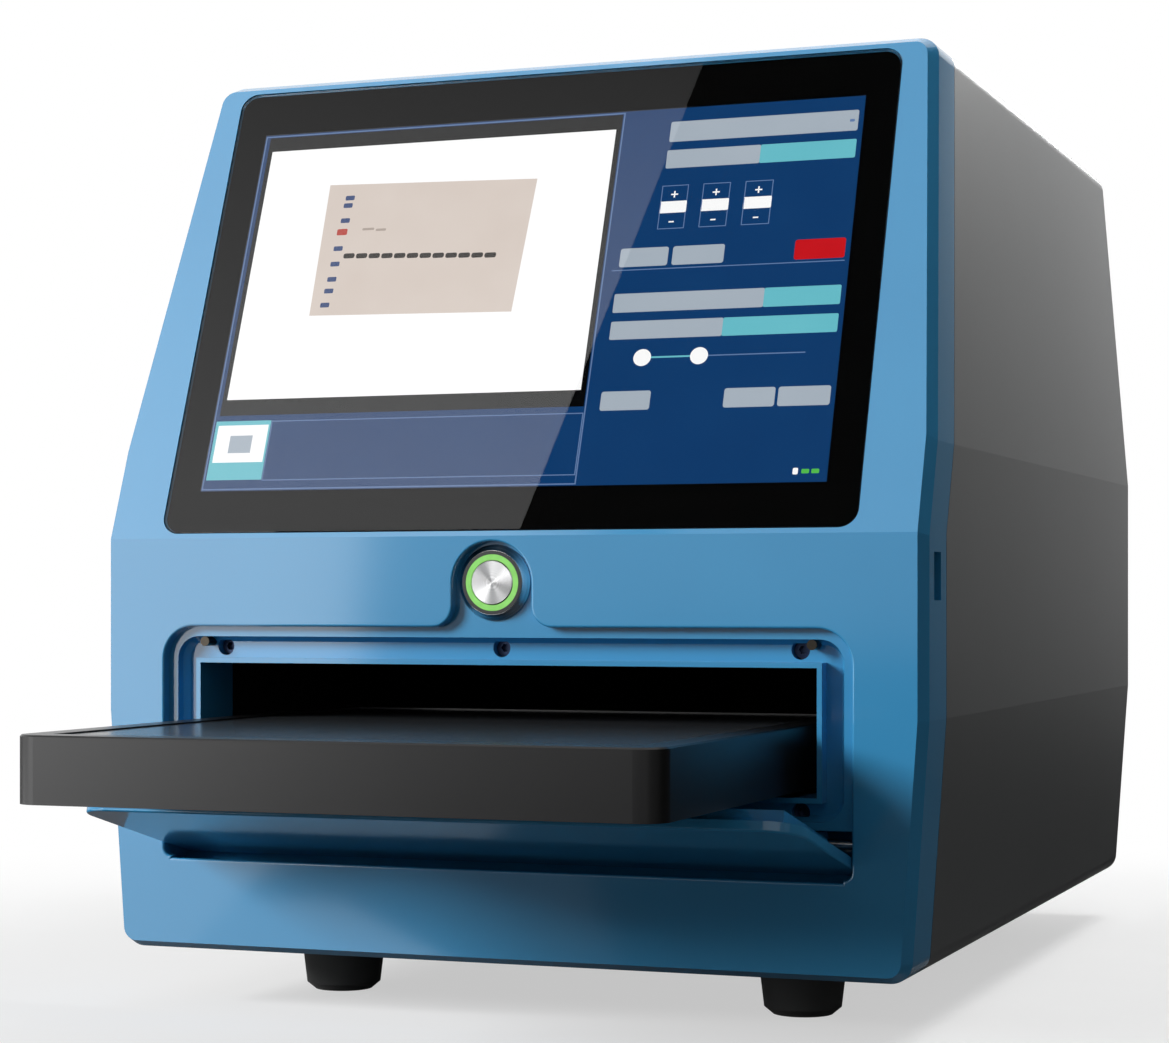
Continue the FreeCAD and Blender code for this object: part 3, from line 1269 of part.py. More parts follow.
def make_back_fittings():
    plane = "depth - panel_set"
    # mains inlet with its three pins
    body_block = box("inlet_block", ("-inlet_side - inlet_half", f"{plane} - 22",
                                     "inlet_high - inlet_tall / 2"),
                     ("2 * inlet_half", "22", "inlet_tall"))
    flange = box("inlet_flange", ("-inlet_side - 25", plane, "inlet_high - 12"), ("50", "2.4", "24"))
    well = box("inlet_well", ("-inlet_side - 12", f"{plane} - 14.5", "inlet_high - 8"), ("24", "40", "16"))
    places = [(f"-inlet_side + {across} - 1", f"{plane} - 18", f"inlet_high + {up} - 2")
              for across, up in INLET_PINS]
    holes = [box(f"inlet_pin_hole_{number}", place, ("2", "16", "4"))
             for number, place in enumerate(places)]
    seat(cut("inlet_cut_out", fuse("inlet_whole", body_block, flange), well, *holes), "mains_inlet")
    pins = [box(f"inlet_pin_{number}", place, ("2", "16", "4"))
            for number, place in enumerate(places)]
    node("inlet_pins", *pins)

    frame = box("rocker_frame", ("-inlet_side - 11.5", plane, "rocker_high - 8"), ("23", "1.8", "16"))
    case = box("rocker_case", ("-inlet_side - rocker_half", f"{plane} - 16",
                               "rocker_high - rocker_tall / 2"),
               ("2 * rocker_half", "16.5", "rocker_tall"))
    hollow = box("rocker_hollow", ("-inlet_side - 8.4", f"{plane} - 9", "rocker_high - 5.4"),
                 ("16.8", "30", "10.8"))
    axle = rod("rocker_axle", "X", ("-inlet_side - 9", f"{plane} - 2", "rocker_high"), "0.9", "18")
    opened = cut("rocker_open", fuse("rocker_outer", frame, case), hollow)
    seat(fuse("rocker_whole", opened, axle), "switch_case")
    paddle = body("paddle")
    pad(paddle, "YZ", [("3.4", "4.6"), ("1.4", "0"), ("3.4", "-4.6"), ("-2.4", "-4.9"), ("-2.4", "4.9")],
        None, "16.2")
    bore = rod("paddle_bore", "X", ("-9", "0", "0"), "0.95", "18")
    seat(cut("paddle_cut", paddle, bore), "switch_rocker", at=("-inlet_side", f"{plane} - 2", "rocker_high"),
         lean=(Vector(-1, 0, 0), "rocker_tilt"))

    sockets = []
    for name, across, wide, tall in SOCKETS:
        outer = box(f"{name}_shell", (f"{across} - {wide} / 2", f"{plane} - 15", "socket_low"),
                    (wide, "15.6", tall))
        inner = box(f"{name}_well", (f"{across} - {wide} / 2 + 0.7", f"{plane} - 12", "socket_low + 0.7"),
                    (f"{wide} - 1.4", "20", f"{tall} - 1.4"))
        sockets.append(cut(name, outer, inner))
    node("rear_sockets", *sockets)
    board = box("socket_board_plate", ("-42", f"{plane} - 28", "socket_low - board_thick"),
                ("102", "25.5", "board_thick"))
    node("socket_board", board)


def make_side_port():
    """Upright data socket behind the slot in the bezel's right-hand band."""
    middle = "side_slot_front + side_slot_deep / 2"
    high = "side_slot_low + side_slot_tall / 2"
    shell = box("side_port_shell", ("half_mid - 17", f"{middle} - 3.3", f"{high} - 6.8"),
                ("14", "6.6", "13.6"))
    well = box("side_port_well", ("half_mid - 15", f"{middle} - 2.8", f"{high} - 6.3"),
               ("20", "5.6", "12.6"))
    tongue = box("side_port_tongue", ("half_mid - 16", f"{middle} - 2.2", f"{high} - 5.6"),
                 ("11", "1.8", "11.2"))
    seat(fuse("side_port_whole", cut("side_port_open", shell, well), tongue), "side_port")
    board = box("side_board_plate", ("half_mid - 17 - board_thick", "bezel_wall + 1", f"{high} - 11"),
                ("board_thick", "20", "22"))
    node("side_port_board", board)


make_bezel()
make_cover()
make_rear_panel()
make_base_pan()
make_feet()
make_mouth_fasteners()
make_flap()
make_hinge_pins()
make_button()
make_display()
make_tray()
make_slide()
make_drive()
make_deck()
make_chamber()
make_camera()
make_lights()
make_electronics()
make_fan()
make_back_fittings()
make_side_port()
doc.recompute()

faults = [f"{thing.Name}: {thing.State}" for thing in doc.Objects
          if "Invalid" in thing.State or "Error" in thing.State]
for thing in nodes:
    if thing.Shape.isNull() or not thing.Shape.isValid() or not thing.Shape.Solids:
        faults.append(f"{thing.Label}: no sound solid")
if faults:
    raise RuntimeError("unsound: " + "; ".join(faults))

os.makedirs("parts", exist_ok=True)
for thing in nodes:
    thing.Shape.exportStep(f"parts/{thing.Label}.step")
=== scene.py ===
import math

import bpy
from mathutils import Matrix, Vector


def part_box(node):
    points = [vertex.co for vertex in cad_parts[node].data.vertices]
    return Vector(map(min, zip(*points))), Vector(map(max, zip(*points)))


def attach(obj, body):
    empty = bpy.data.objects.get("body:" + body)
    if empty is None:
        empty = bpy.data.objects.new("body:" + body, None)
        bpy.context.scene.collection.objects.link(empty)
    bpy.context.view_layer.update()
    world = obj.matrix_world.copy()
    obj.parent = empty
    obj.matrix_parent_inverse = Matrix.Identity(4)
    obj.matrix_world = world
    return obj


# Looks for the gel documentation system: finishes for every sub-part, the picture on the
# touch screen, the printed border under its glass, and a plain bench with its lamps and cards.

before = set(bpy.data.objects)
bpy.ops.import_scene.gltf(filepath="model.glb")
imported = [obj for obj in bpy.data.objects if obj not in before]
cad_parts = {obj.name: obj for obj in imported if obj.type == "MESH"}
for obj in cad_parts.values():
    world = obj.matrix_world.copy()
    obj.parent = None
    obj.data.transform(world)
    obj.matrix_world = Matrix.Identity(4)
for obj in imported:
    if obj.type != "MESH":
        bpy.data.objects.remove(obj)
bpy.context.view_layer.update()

MM = 0.001
# how far the touch screen leans back, and half the height of its glass up that slope, in mm
TILT = math.radians(20.6)
GLASS_HALF_TALL = 83.6


# ---- small helpers -------------------------------------------------------------------


def linear(code, alpha=1.0):
    """A colour written as sRGB hex, in the linear values that shaders work in."""
    steps = [int(code[place:place + 2], 16) / 255 for place in (0, 2, 4)]
    return [s / 12.92 if s <= 0.04045 else ((s + 0.055) / 1.055) ** 2.4 for s in steps] + [alpha]


def add(tree, kind, settings):
    """Add a shader node. A setting is an input, by name or number, or else a property."""
    made = tree.nodes.new("ShaderNode" + kind)
    for name, value in settings.items():
        if isinstance(name, str) and name not in made.inputs:
            setattr(made, name, value)
        elif isinstance(value, bpy.types.NodeSocket):
            tree.links.new(value, made.inputs[name])
        else:
            made.inputs[name].default_value = value
    return made


def begin(name, settings):
    """A new material with one Principled shader, its tree and that shader."""
    made = bpy.data.materials.new(name)
    made.use_nodes = True
    tree = made.node_tree
    tree.nodes.clear()
    shader = add(tree, "BsdfPrincipled", settings)
    add(tree, "OutputMaterial", {"Surface": shader.outputs["BSDF"]})
    return made, tree, shader


def noise(tree, size, detail=2.0, stretch=(1.0, 1.0, 1.0)):
    """Noise whose spots are `size` mm wide, drawn out along an axis by a small stretch."""
    place = add(tree, "TexCoord", {})
    spread = add(tree, "Mapping", {"Vector": place.outputs["Object"], "Scale": stretch})
    spots = add(tree, "TexNoise", {"Vector": spread.outputs["Vector"], "Scale": 1000.0 / size,
                                   "Detail": detail})
    return spots.outputs["Fac"]


def drift(tree, socket, dark, light, amount):
    """Let a colour drift between two shades with `amount`, which runs from 0 to 1."""
    tint = add(tree, "Mix", {"data_type": "RGBA", 0: amount, 6: linear(dark), 7: linear(light)})
    tree.links.new(tint.outputs[2], socket)


def relief(tree, shader, height, tall):
    """Raise the surface by `tall` mm where `height` is 1."""
    bump = add(tree, "Bump", {"Height": height, "Distance": tall * MM})
    tree.links.new(bump.outputs["Normal"], shader.inputs["Normal"])


def finish(name, dark, light, patch, grain, tall, settings, stretch=(1.0, 1.0, 1.0)):
    """A finish with soft colour patches `patch` mm wide and a grain `grain` mm wide, `tall` mm high."""
    made, tree, shader = begin(name, settings)
    drift(tree, shader.inputs["Base Color"], dark, light, noise(tree, patch))
    relief(tree, shader, noise(tree, grain, 3.0, stretch), tall)
    return made


def dress(material, *nodes):
    """Give a finish to sub-parts that the frame brought in."""
    for name in nodes:
        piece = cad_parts[name]
        piece.data.materials.clear()
        piece.data.materials.append(material)


def start(name, kind, **where):
    """Add a primitive with nothing else selected."""
    bpy.ops.object.select_all(action="DESELECT")
    getattr(bpy.ops.mesh, f"primitive_{kind}_add")(**where)
    made = bpy.context.object
    made.name = name
    return made


def settle(piece):
    """Put a piece's place, turn and size into its mesh."""
    bpy.ops.object.select_all(action="DESELECT")
    piece.select_set(True)
    bpy.context.view_layer.objects.active = piece
    bpy.ops.object.transform_apply(location=True, rotation=True, scale=True)


def join(name, pieces):
    """Make one named piece of several."""
    bpy.ops.object.select_all(action="DESELECT")
    for piece in pieces:
        piece.select_set(True)
    bpy.context.view_layer.objects.active = pieces[0]
    bpy.ops.object.join()
    pieces[0].name = name
    return pieces[0]


# ---- finishes ----------------------------------------------------------------------------

# Polyester powder coat over the die-cast front: an even satin blue with a faint orange peel
# that breaks up the edge of each highlight.
blue_powder_coat = finish("blue_powder_coat", "287CAA", "2E84B2", 60.0, 0.5, 0.008,
                          {"Roughness": 0.5, "IOR": 1.5, "Specular IOR Level": 0.1,
                           "Coat Weight": 1.0, "Coat Roughness": 0.1})
dress(blue_powder_coat, "front_bezel", "flap_door")

# Fine-textured powder coat on folded sheet steel: darker and duller than the front.
grey_powder_coat = finish("grey_textured_powder_coat", "4A4C4D", "525455", 90.0, 0.7, 0.02,
                          {"Roughness": 0.42, "IOR": 1.5})
dress(grey_powder_coat, "housing_cover")

# Smooth black coat on the flat sheets behind and below.
dark_sheet_coat = finish("black_sheet_coat", "26282A", "2D2F31", 80.0, 0.6, 0.01,
                         {"Roughness": 0.45, "IOR": 1.5})
dress(dark_sheet_coat, "rear_panel", "base_pan")

# Bright zinc plating on pressed steel: pale metal with a cloudy, slightly blue surface.
zinc_plate = finish("zinc_plated_sheet", "9EA3A8", "B9BDC0", 12.0, 1.5, 0.003,
                    {"Metallic": 1.0, "Roughness": 0.32})
dress(zinc_plate, "chassis_deck", "display_bracket", "motor_bracket", "camera_bracket", "power_supply",
      "rear_sockets")

# Moulded rubber: near black, dull, with a dusty bloom.
rubber = finish("moulded_rubber", "383939", "444545", 14.0, 0.8, 0.03,
                {"Roughness": 0.75, "IOR": 1.52, "Sheen Weight": 0.08, "Sheen Roughness": 0.5})
dress(rubber, "rubber_feet")

# Zinc-plated steel screws and pins: small, bright, with turning marks across the axis.
plated_steel = finish("plated_steel_fasteners", "A8ABAE", "C4C6C8", 2.0, 0.15, 0.003,
                      {"Metallic": 1.0, "Roughness": 0.25})
dress(plated_steel, "foot_screws", "bracket_screws", "carriage_screws", "fan_screws", "hinge_pins",
      "motor_shaft")

# Ground bearing steel: even and mirror-like along the rails.
bearing_steel = finish("ground_bearing_steel", "A2A5A8", "B4B6B8", 8.0, 0.2, 0.002,
                       {"Metallic": 1.0, "Roughness": 0.16}, (0.02, 1.0, 1.0))
dress(bearing_steel, "slide_rails", "slide_blocks", "lead_screw", "screw_bearing")

# Black oxide on socket screws: dark, oily satin; the blue cast in its colour is a painted reflection of
# the blue counterbore walls round the heads.
oxide_and_painted_blue_reflection = finish("black_oxide_screws", "14233F", "1B2D4C", 1.5, 0.2, 0.003,
                     {"Metallic": 0.6, "Roughness": 0.3})
dress(oxide_and_painted_blue_reflection, "bezel_screws")

# Nickel-plated magnets: small bright discs with a warm tint.
nickel = finish("nickel_plated_magnets", "37342F", "454038", 1.0, 0.2, 0.003,
                {"Metallic": 1.0, "Roughness": 0.35})
dress(nickel, "flap_magnets")

# Glass-filled black plastic: slightly uneven satin with a moulded grain.
black_plastic = finish("moulded_black_nylon", "1B1C1E", "232527", 9.0, 0.4, 0.012,
                       {"Roughness": 0.42, "IOR": 1.53})
dress(black_plastic, "lcd_panel", "side_port", "mains_inlet", "switch_case", "fan_frame", "fan_rotor",
      "button_trim_ring")

# Gloss-moulded rocker: the same plastic off a polished tool.
polished_plastic = finish("polished_black_nylon", "151617", "1C1D1F", 6.0, 0.5, 0.004,
                          {"Roughness": 0.18, "IOR": 1.53})
dress(polished_plastic, "switch_rocker")

# Black anodised aluminium: deep grey-black with a fine blasted grain that catches light softly.
black_anodise = finish("black_anodised_aluminium", "0C0C0D", "111112", 40.0, 0.25, 0.008,
                       {"Roughness": 0.33, "IOR": 1.5})
dress(black_anodise, "tray_body", "camera_body", "camera_heat_sink", "lens_barrel", "focus_ring",
      "filter_ring", "processor_heat_sink")

# Polished black acrylic sheet: the stage mirrors what stands over it, with faint wipe marks.
black_acrylic = finish("black_acrylic_stage", "2C2E31", "323538", 25.0, 3.0, 0.002,
                       {"Roughness": 0.24, "IOR": 1.49})
dress(black_acrylic, "stage_plate")

# Matt black paint inside the dark chamber: swallows light.
chamber_black = finish("matt_black_chamber_paint", "0A0A0B", "101011", 20.0, 0.6, 0.03,
                       {"Roughness": 0.9, "IOR": 1.45, "Specular IOR Level": 0.2})
dress(chamber_black, "chamber_box")

# Mill-finish aluminium: pale metal with rolling lines.
mill_aluminium = finish("mill_aluminium", "B4B6B8", "C6C8CA", 15.0, 0.5, 0.004,
                        {"Metallic": 1.0, "Roughness": 0.3}, (0.03, 1.0, 1.0))
dress(mill_aluminium, "tray_carriage", "led_bars")

# Turned brass: warm yellow metal for the nut and the board's posts.
turned_brass = finish("turned_brass", "B08D45", "C7A55A", 3.0, 0.2, 0.004,
                      {"Metallic": 1.0, "Roughness": 0.24})
dress(turned_brass, "screw_nut", "board_standoffs", "inlet_pins")

# Painted motor case: dull black enamel over steel laminations, faint lines across the stack.
motor_enamel = finish("motor_enamel", "1A1B1D", "2A2B2D", 6.0, 0.5, 0.02,
                      {"Metallic": 0.4, "Roughness": 0.5}, (1.0, 1.0, 0.05))
dress(motor_enamel, "drive_motor")

# Opal acrylic over the lamps: white, soft, slightly see-into.
opal_acrylic = finish("opal_acrylic", "E4E6E4", "F0F1EF", 10.0, 1.0, 0.004,
                      {"Roughness": 0.4, "IOR": 1.49, "Subsurface Weight": 0.2})
dress(opal_acrylic, "led_diffusers")


def circuit_board():
    """Green solder mask over copper: squarish darker and lighter runs about 1.5 mm wide."""
    made, tree, shader = begin("solder_mask_board", {"Roughness": 0.3, "IOR": 1.55})
    place = add(tree, "TexCoord", {})
    runs = add(tree, "TexVoronoi", {"Vector": place.outputs["Object"], "Scale": 1000.0 / 3.0,
                                    "distance": "CHEBYCHEV"})
    drift(tree, shader.inputs["Base Color"], "0F4A2B", "1B6B41", runs.outputs["Distance"])
    relief(tree, shader, runs.outputs["Distance"], 0.03)
    return made


dress(circuit_board(), "main_board", "display_board", "side_port_board", "socket_board")


def clear_glass():
    """Toughened cover glass: clear, flat and polished, with the faintest waver from rolling."""
    made, tree, shader = begin("toughened_cover_glass", {
        "Base Color": linear("FFFFFF"), "Roughness": 0.0, "IOR": 1.5, "Transmission Weight": 1.0})
    relief(tree, shader, noise(tree, 90.0), 0.004)
    return made


dress(clear_glass(), "cover_glass")


def filter_glass(name, dark, light):
    """Coloured optical glass with a soft drift in its dye."""
    made, tree, shader = begin(name, {"Roughness": 0.02, "IOR": 1.52, "Transmission Weight": 0.9})
    drift(tree, shader.inputs["Base Color"], dark, light, noise(tree, 10.0))
    return made


dress(filter_glass("amber_filter_glass", "C8600F", "DB7A1C"), "emission_filter")
dress(filter_glass("coated_lens_glass", "9AA8C8", "B4BFD6"), "lens_glass")


def spun_steel():
    """Stainless steel faced on a lathe: rings round the button's axis pull light into a bow; paler and
    darker sectors in its colour are a painted reflection of that bow.
    """
    low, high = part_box("button_cap")
    middle = (low + high) / 2
    made, tree, shader = begin("spun_stainless_steel", {
        "Metallic": 1.0, "Roughness": 0.27, "Anisotropic": 0.85})
    place = add(tree, "TexCoord", {})
    arm = add(tree, "VectorMath", {"operation": "SUBTRACT", 0: place.outputs["Object"], 1: middle})
    along = add(tree, "VectorMath", {"operation": "CROSS_PRODUCT", 0: arm.outputs[0],
                                     1: (0.0, 1.0, 0.0)})
    tree.links.new(along.outputs[0], shader.inputs["Tangent"])
    reach = add(tree, "VectorMath", {"operation": "LENGTH", 0: arm.outputs[0]})
    # turning marks 0.12 mm apart, drawn 0.3 mm apart so that they show
    rings = add(tree, "Math", {"operation": "SINE", 0: add(tree, "Math", {
        "operation": "MULTIPLY", 0: reach.outputs["Value"], 1: 2 * math.pi / (0.3 * MM)}).outputs[0]})
    # painted reflection: paler and darker sectors, which meet at the middle, stand in for the bow of
    # light off the turning marks
    sides = add(tree, "SeparateXYZ", {"Vector": arm.outputs[0]})
    angle = add(tree, "Math", {"operation": "ARCTAN2", 0: sides.outputs["Z"], 1: sides.outputs["X"]})
    painted_sector_turns = add(tree, "Math", {"operation": "MULTIPLY_ADD", 0: angle.outputs[0], 1: 2.0, 2: 0.9})
    wide = add(tree, "Math", {"operation": "SINE", 0: painted_sector_turns.outputs[0]})
    finer_painted_sectors = add(tree, "Math", {"operation": "SINE", 0: add(tree, "Math", {
        "operation": "MULTIPLY", 0: angle.outputs[0], 1: 5.0}).outputs[0]})
    painted_bow_sectors = add(tree, "Math", {"operation": "MULTIPLY_ADD", 0: finer_painted_sectors.outputs[0], 1: 0.4,
                                 2: wide.outputs[0]})
    rings_and_painted_bow = add(tree, "Math", {"operation": "MULTIPLY_ADD", 0: rings.outputs[0], 1: 0.25,
                               2: painted_bow_sectors.outputs[0]})
    shade = add(tree, "MapRange", {"Value": rings_and_painted_bow.outputs[0], "From Min": -1.2, "From Max": 1.2})
    # the colour runs from dark steel up to a painted highlight: real turning rings plus the painted
    # reflection's sectors
    drift(tree, shader.inputs["Base Color"], "7A7B7C", "F2F2F3", shade.outputs["Result"])
    return made


dress(spun_steel(), "button_cap", "button_body", "button_nut")


def lit_ring():
    """Green light pipe round the button: frosted acrylic, lit from behind, brighter in spots."""
    made, tree, shader = begin("green_light_pipe", {
        "Roughness": 0.4, "IOR": 1.49, "Emission Strength": 0.75})
    drift(tree, shader.inputs["Base Color"], "3F7A2C", "5C9A48", noise(tree, 3.0))
    drift(tree, shader.inputs["Emission Color"], "74AE57", "8CC96C", noise(tree, 3.0))
    return made


dress(lit_ring(), "button_light_ring")


# ---- picture on the touch screen -------------------------------------------------------------

# The picture is laid out in millimetres from its own middle, across and up the slope, and
# each layer lies a little nearer to the glass than the one before.
LAYER = 0.012
PICTURE_HALF = (108.48, 67.8)
# the picture sits this far below the middle of the glass, and this far behind its back face
PICTURE_DROP = 0.4
PICTURE_DEEP = 0.26
# the print is laid into the glass's back face, round the picture with a hair of clearance
BORDER_HALF = (119.2, 83.1)
BORDER_DEEP = -0.03
BORDER_ROUND = 5.6


def glow(name, dark, light, strength=1.0):
    """Lit dots behind the glass: colour comes from the light itself, with a soft mottle."""
    made, tree, shader = begin(name, {"Base Color": linear("050505"), "Roughness": 0.6,
                                      "Specular IOR Level": 0.0, "Emission Strength": strength})
    drift(tree, shader.inputs["Emission Color"], dark, light, noise(tree, 20.0))
    return made


screen_navy = glow("screen_navy", "10396A", "143F70")
screen_black = glow("screen_black", "050607", "08090A")
screen_white = glow("screen_white", "FCFCFC", "FFFFFF", 1.05)
screen_grey = glow("screen_grey", "A6B2BE", "AEB9C4")
screen_cyan = glow("screen_cyan", "66BDCA", "70C4D0")
screen_red = glow("screen_red", "C4141C", "CE1C24")
screen_green = glow("screen_green", "4FB84A", "5CC256")
screen_line = glow("screen_line", "5E79A6", "6A85B0")
blot_membrane = glow("screen_membrane", "D3C5BB", "DDD1C8")
blot_band = glow("screen_blot_band", "1A1510", "2A231C")
blot_blue = glow("screen_blot_blue", "243C6E", "344E80")
blot_red = glow("screen_blot_red", "B03428", "C04438")
blot_faint = glow("screen_blot_faint", "A89A90", "B0A298")

tiles = []


def tile(colour, layer, across, up, corner=0.0):
    """A flat lit patch between two places across and two up, its corners cut round."""
    middle = ((across[0] + across[1]) / 2, (up[0] + up[1]) / 2, layer * LAYER)
    patch = start("screen_patch", "plane", size=1.0, location=middle)
    patch.scale = (across[1] - across[0], up[1] - up[0], 1.0)
    settle(patch)
    if corner:
        bpy.ops.object.mode_set(mode="EDIT")
        bpy.ops.mesh.select_all(action="SELECT")
        bpy.ops.mesh.bevel(affect="VERTICES", offset=corner, segments=3)
        bpy.ops.object.mode_set(mode="OBJECT")
    patch.data.materials.append(colour)
    tiles.append(patch)
    return patch


def outline(colour, layer, across, up, wide):
    """A thin lit frame: a patch inset by its line's width, with the middle taken out."""
    patch = tile(colour, layer, across, up)
    bpy.ops.object.mode_set(mode="EDIT")
    bpy.ops.mesh.select_all(action="SELECT")
    bpy.ops.mesh.inset(thickness=wide)
    bpy.ops.mesh.delete(type="FACE")
    bpy.ops.object.mode_set(mode="OBJECT")


def knob(colour, layer, across, up, radius):
    """A round lit spot, such as a slider's handle."""
    disc = start("screen_knob", "circle", vertices=32, radius=radius, fill_type="NGON",
                 location=(across, up, layer * LAYER))
    settle(disc)
    disc.data.materials.append(colour)
    tiles.append(disc)


def slant(patch, shifts):
    """Move each corner of a patch by its own step, to leave it out of square."""
    for corner, (across, up) in zip(patch.data.vertices, shifts):
        corner.co.x += across
        corner.co.y += up


def capture_view():
    """Left two thirds: the captured blot in its dark frame, and the strip of shots under it."""
    tile(screen_navy, 0, (-PICTURE_HALF[0], PICTURE_HALF[0]), (-PICTURE_HALF[1], PICTURE_HALF[1]))
    outline(screen_line, 1, (-108.3, 26.0), (-67.4, 67.4), 0.45)
    tile(screen_black, 2, (-106.6, 25.2), (-40.2, 66.7))
    tile(screen_white, 3, (-104.9, 23.4), (-34.3, 61.2))
    membrane = tile(blot_membrane, 4, (-79.3, -5.0), (-3.6, 46.5))
    slant(membrane, ((0.0, 0.0), (0.0, -1.5), (-0.6, 0.0), (2.4, -2.2)))
    for across, up in ((-71.4, 41.0), (-71.7, 38.1), (-71.8, 32.3), (-72.7, 21.6), (-72.9, 15.7),
                       (-73.1, 9.9), (-73.5, 5.5), (-74.1, 0.2)):
        tile(blot_blue, 5, (across - 1.7, across + 1.7), (up - 0.9, up + 0.9), 0.4)
    tile(blot_red, 5, (-74.2, -70.3), (26.7, 29.1), 0.5)
    for lane in range(12):
        across = -68.1 + 4.77 * lane
        up = 18.6 - 0.21 * lane
        tile(blot_band, 5, (across - 2.1, across + 2.1), (up - 0.95, up + 0.95), 0.7)
    tile(blot_faint, 5, (-64.7, -60.3), (28.1, 29.0), 0.3)
    tile(blot_faint, 5, (-59.6, -55.8), (27.6, 28.5), 0.3)
    outline(screen_line, 2, (-86.4, 25.4), (-64.2, -42.4), 0.35)
    tile(screen_cyan, 2, (-107.3, -86.6), (-63.8, -42.2))
    tile(screen_white, 3, (-106.2, -87.3), (-57.4, -43.8))
    tile(screen_grey, 4, (-101.0, -92.6), (-54.0, -47.6))


def split_bar(across, middle, up):
    """A two-way choice: the left part is grey and the chosen right part is cyan."""
    tile(screen_grey, 1, (across[0], middle), up, 0.5)
    tile(screen_cyan, 1, (middle, across[1]), up, 0.5)


def settings_side():
    """Right third: fields, step boxes, buttons and a slider, without their words."""
    tile(screen_grey, 1, (42.7, 106.8), (55.1, 62.7), 0.6)
    tile(screen_line, 2, (104.0, 105.6), (58.4, 59.4), 0.3)
    split_bar((42.6, 106.9), 74.8, (45.2, 52.0))
    for left, right in ((42.4, 51.6), (56.6, 66.0), (71.0, 80.5)):
        middle = (left + right) / 2
        outline(screen_line, 1, (left, right), (22.7, 38.8), 0.3)
        tile(screen_white, 1, (left, right), (28.6, 32.9), 0.3)
        tile(screen_white, 1, (middle - 1.2, middle + 1.2), (35.15, 35.65))
        tile(screen_white, 2, (middle - 0.25, middle + 0.25), (34.2, 36.6))
        tile(screen_white, 1, (middle - 0.9, middle + 0.9), (25.05, 25.55))
    tile(screen_grey, 1, (30.8, 47.4), (9.4, 16.2), 0.8)
    tile(screen_grey, 1, (48.9, 66.5), (9.4, 16.2), 0.8)
    tile(screen_red, 1, (90.1, 106.8), (9.3, 16.4), 0.8)
    tile(screen_line, 1, (28.5, 107.0), (8.1, 8.45))
    split_bar((30.7, 106.9), 81.6, (-7.1, -0.3))
    split_bar((30.8, 106.9), 68.9, (-16.8, -10.3))
    tile(screen_line, 1, (43.0, 97.3), (-23.7, -23.3))
    tile(screen_cyan, 2, (43.0, 62.2), (-23.8, -23.2))
    knob(screen_white, 3, 43.0, -23.5, 3.0)
    knob(screen_white, 3, 62.2, -23.5, 3.0)
    for left, right in ((30.7, 47.5), (72.1, 88.9), (89.9, 106.9)):
        tile(screen_grey, 1, (left, right), (-41.9, -35.2), 0.8)
    tile(screen_white, 1, (97.3, 99.0), (-65.2, -63.0), 0.4)
    tile(screen_green, 1, (100.1, 102.6), (-64.9, -63.4), 0.3)
    tile(screen_green, 1, (103.3, 105.8), (-64.9, -63.4), 0.3)


def lay_on_slope(piece, deep):
    """Carry a flat piece, drawn in mm, onto the slope, `deep` mm behind the glass's back face."""
    low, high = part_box("cover_glass")
    half_tall = GLASS_HALF_TALL * MM
    middle = Vector((0.0, high.y - half_tall * math.sin(TILT), low.z + half_tall * math.cos(TILT)))
    inward = Vector((0.0, math.cos(TILT), -math.sin(TILT)))
    piece.location = middle + inward * deep * MM
    piece.rotation_euler = (math.pi / 2 - TILT, 0.0, 0.0)
    piece.scale = (MM, MM, MM)
    settle(piece)


capture_view()
settings_side()
picture = join("screen_picture", tiles)
picture.location.y = -PICTURE_DROP
settle(picture)
lay_on_slope(picture, PICTURE_DEEP)
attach(picture, "cabinet")


def printed_border():
    """Black ceramic print round the picture, fired on the back of the glass."""
    border = start("printed_border", "plane", size=1.0)
    border.scale = (2 * BORDER_HALF[0], 2 * BORDER_HALF[1], 1.0)
    settle(border)
    window = ((1.0, 0.0, 108.6), (-1.0, 0.0, 108.6), (0.0, 1.0, 67.55), (0.0, -1.0, 68.35))
    bpy.ops.object.mode_set(mode="EDIT")
    for across, up, reach in window:
        bpy.ops.mesh.select_all(action="SELECT")
        bpy.ops.mesh.bisect(plane_co=(across * reach, up * reach, 0.0), plane_no=(across, up, 0.0))
    bpy.ops.mesh.select_all(action="DESELECT")
    bpy.ops.object.mode_set(mode="OBJECT")
    for face in border.data.polygons:
        face.select = face.center.length < 20.0
    bpy.ops.object.mode_set(mode="EDIT")
    bpy.ops.mesh.delete(type="FACE")
    bpy.ops.object.mode_set(mode="OBJECT")
    for corner in border.data.vertices:
        corner.select = (abs(corner.co.x) > BORDER_HALF[0] - 0.1
                         and abs(corner.co.y) > BORDER_HALF[1] - 0.1)
    bpy.ops.object.mode_set(mode="EDIT")
    bpy.ops.mesh.select_mode(type="VERT")
    bpy.ops.mesh.bevel(affect="VERTICES", offset=BORDER_ROUND, segments=8)
    bpy.ops.object.mode_set(mode="OBJECT")
    return border


# Ceramic ink under glass: deep black, dead even but for a faint screen-print grain.
ceramic_ink = finish("ceramic_ink", "050505", "080808", 30.0, 2.0, 0.001,
                     {"Roughness": 0.5, "IOR": 1.5, "Specular IOR Level": 0.05})
border = printed_border()
border.data.materials.append(ceramic_ink)
lay_on_slope(border, BORDER_DEEP)
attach(border, "cabinet")


# ---- bench, lamps and camera --------------------------------------------------------------------


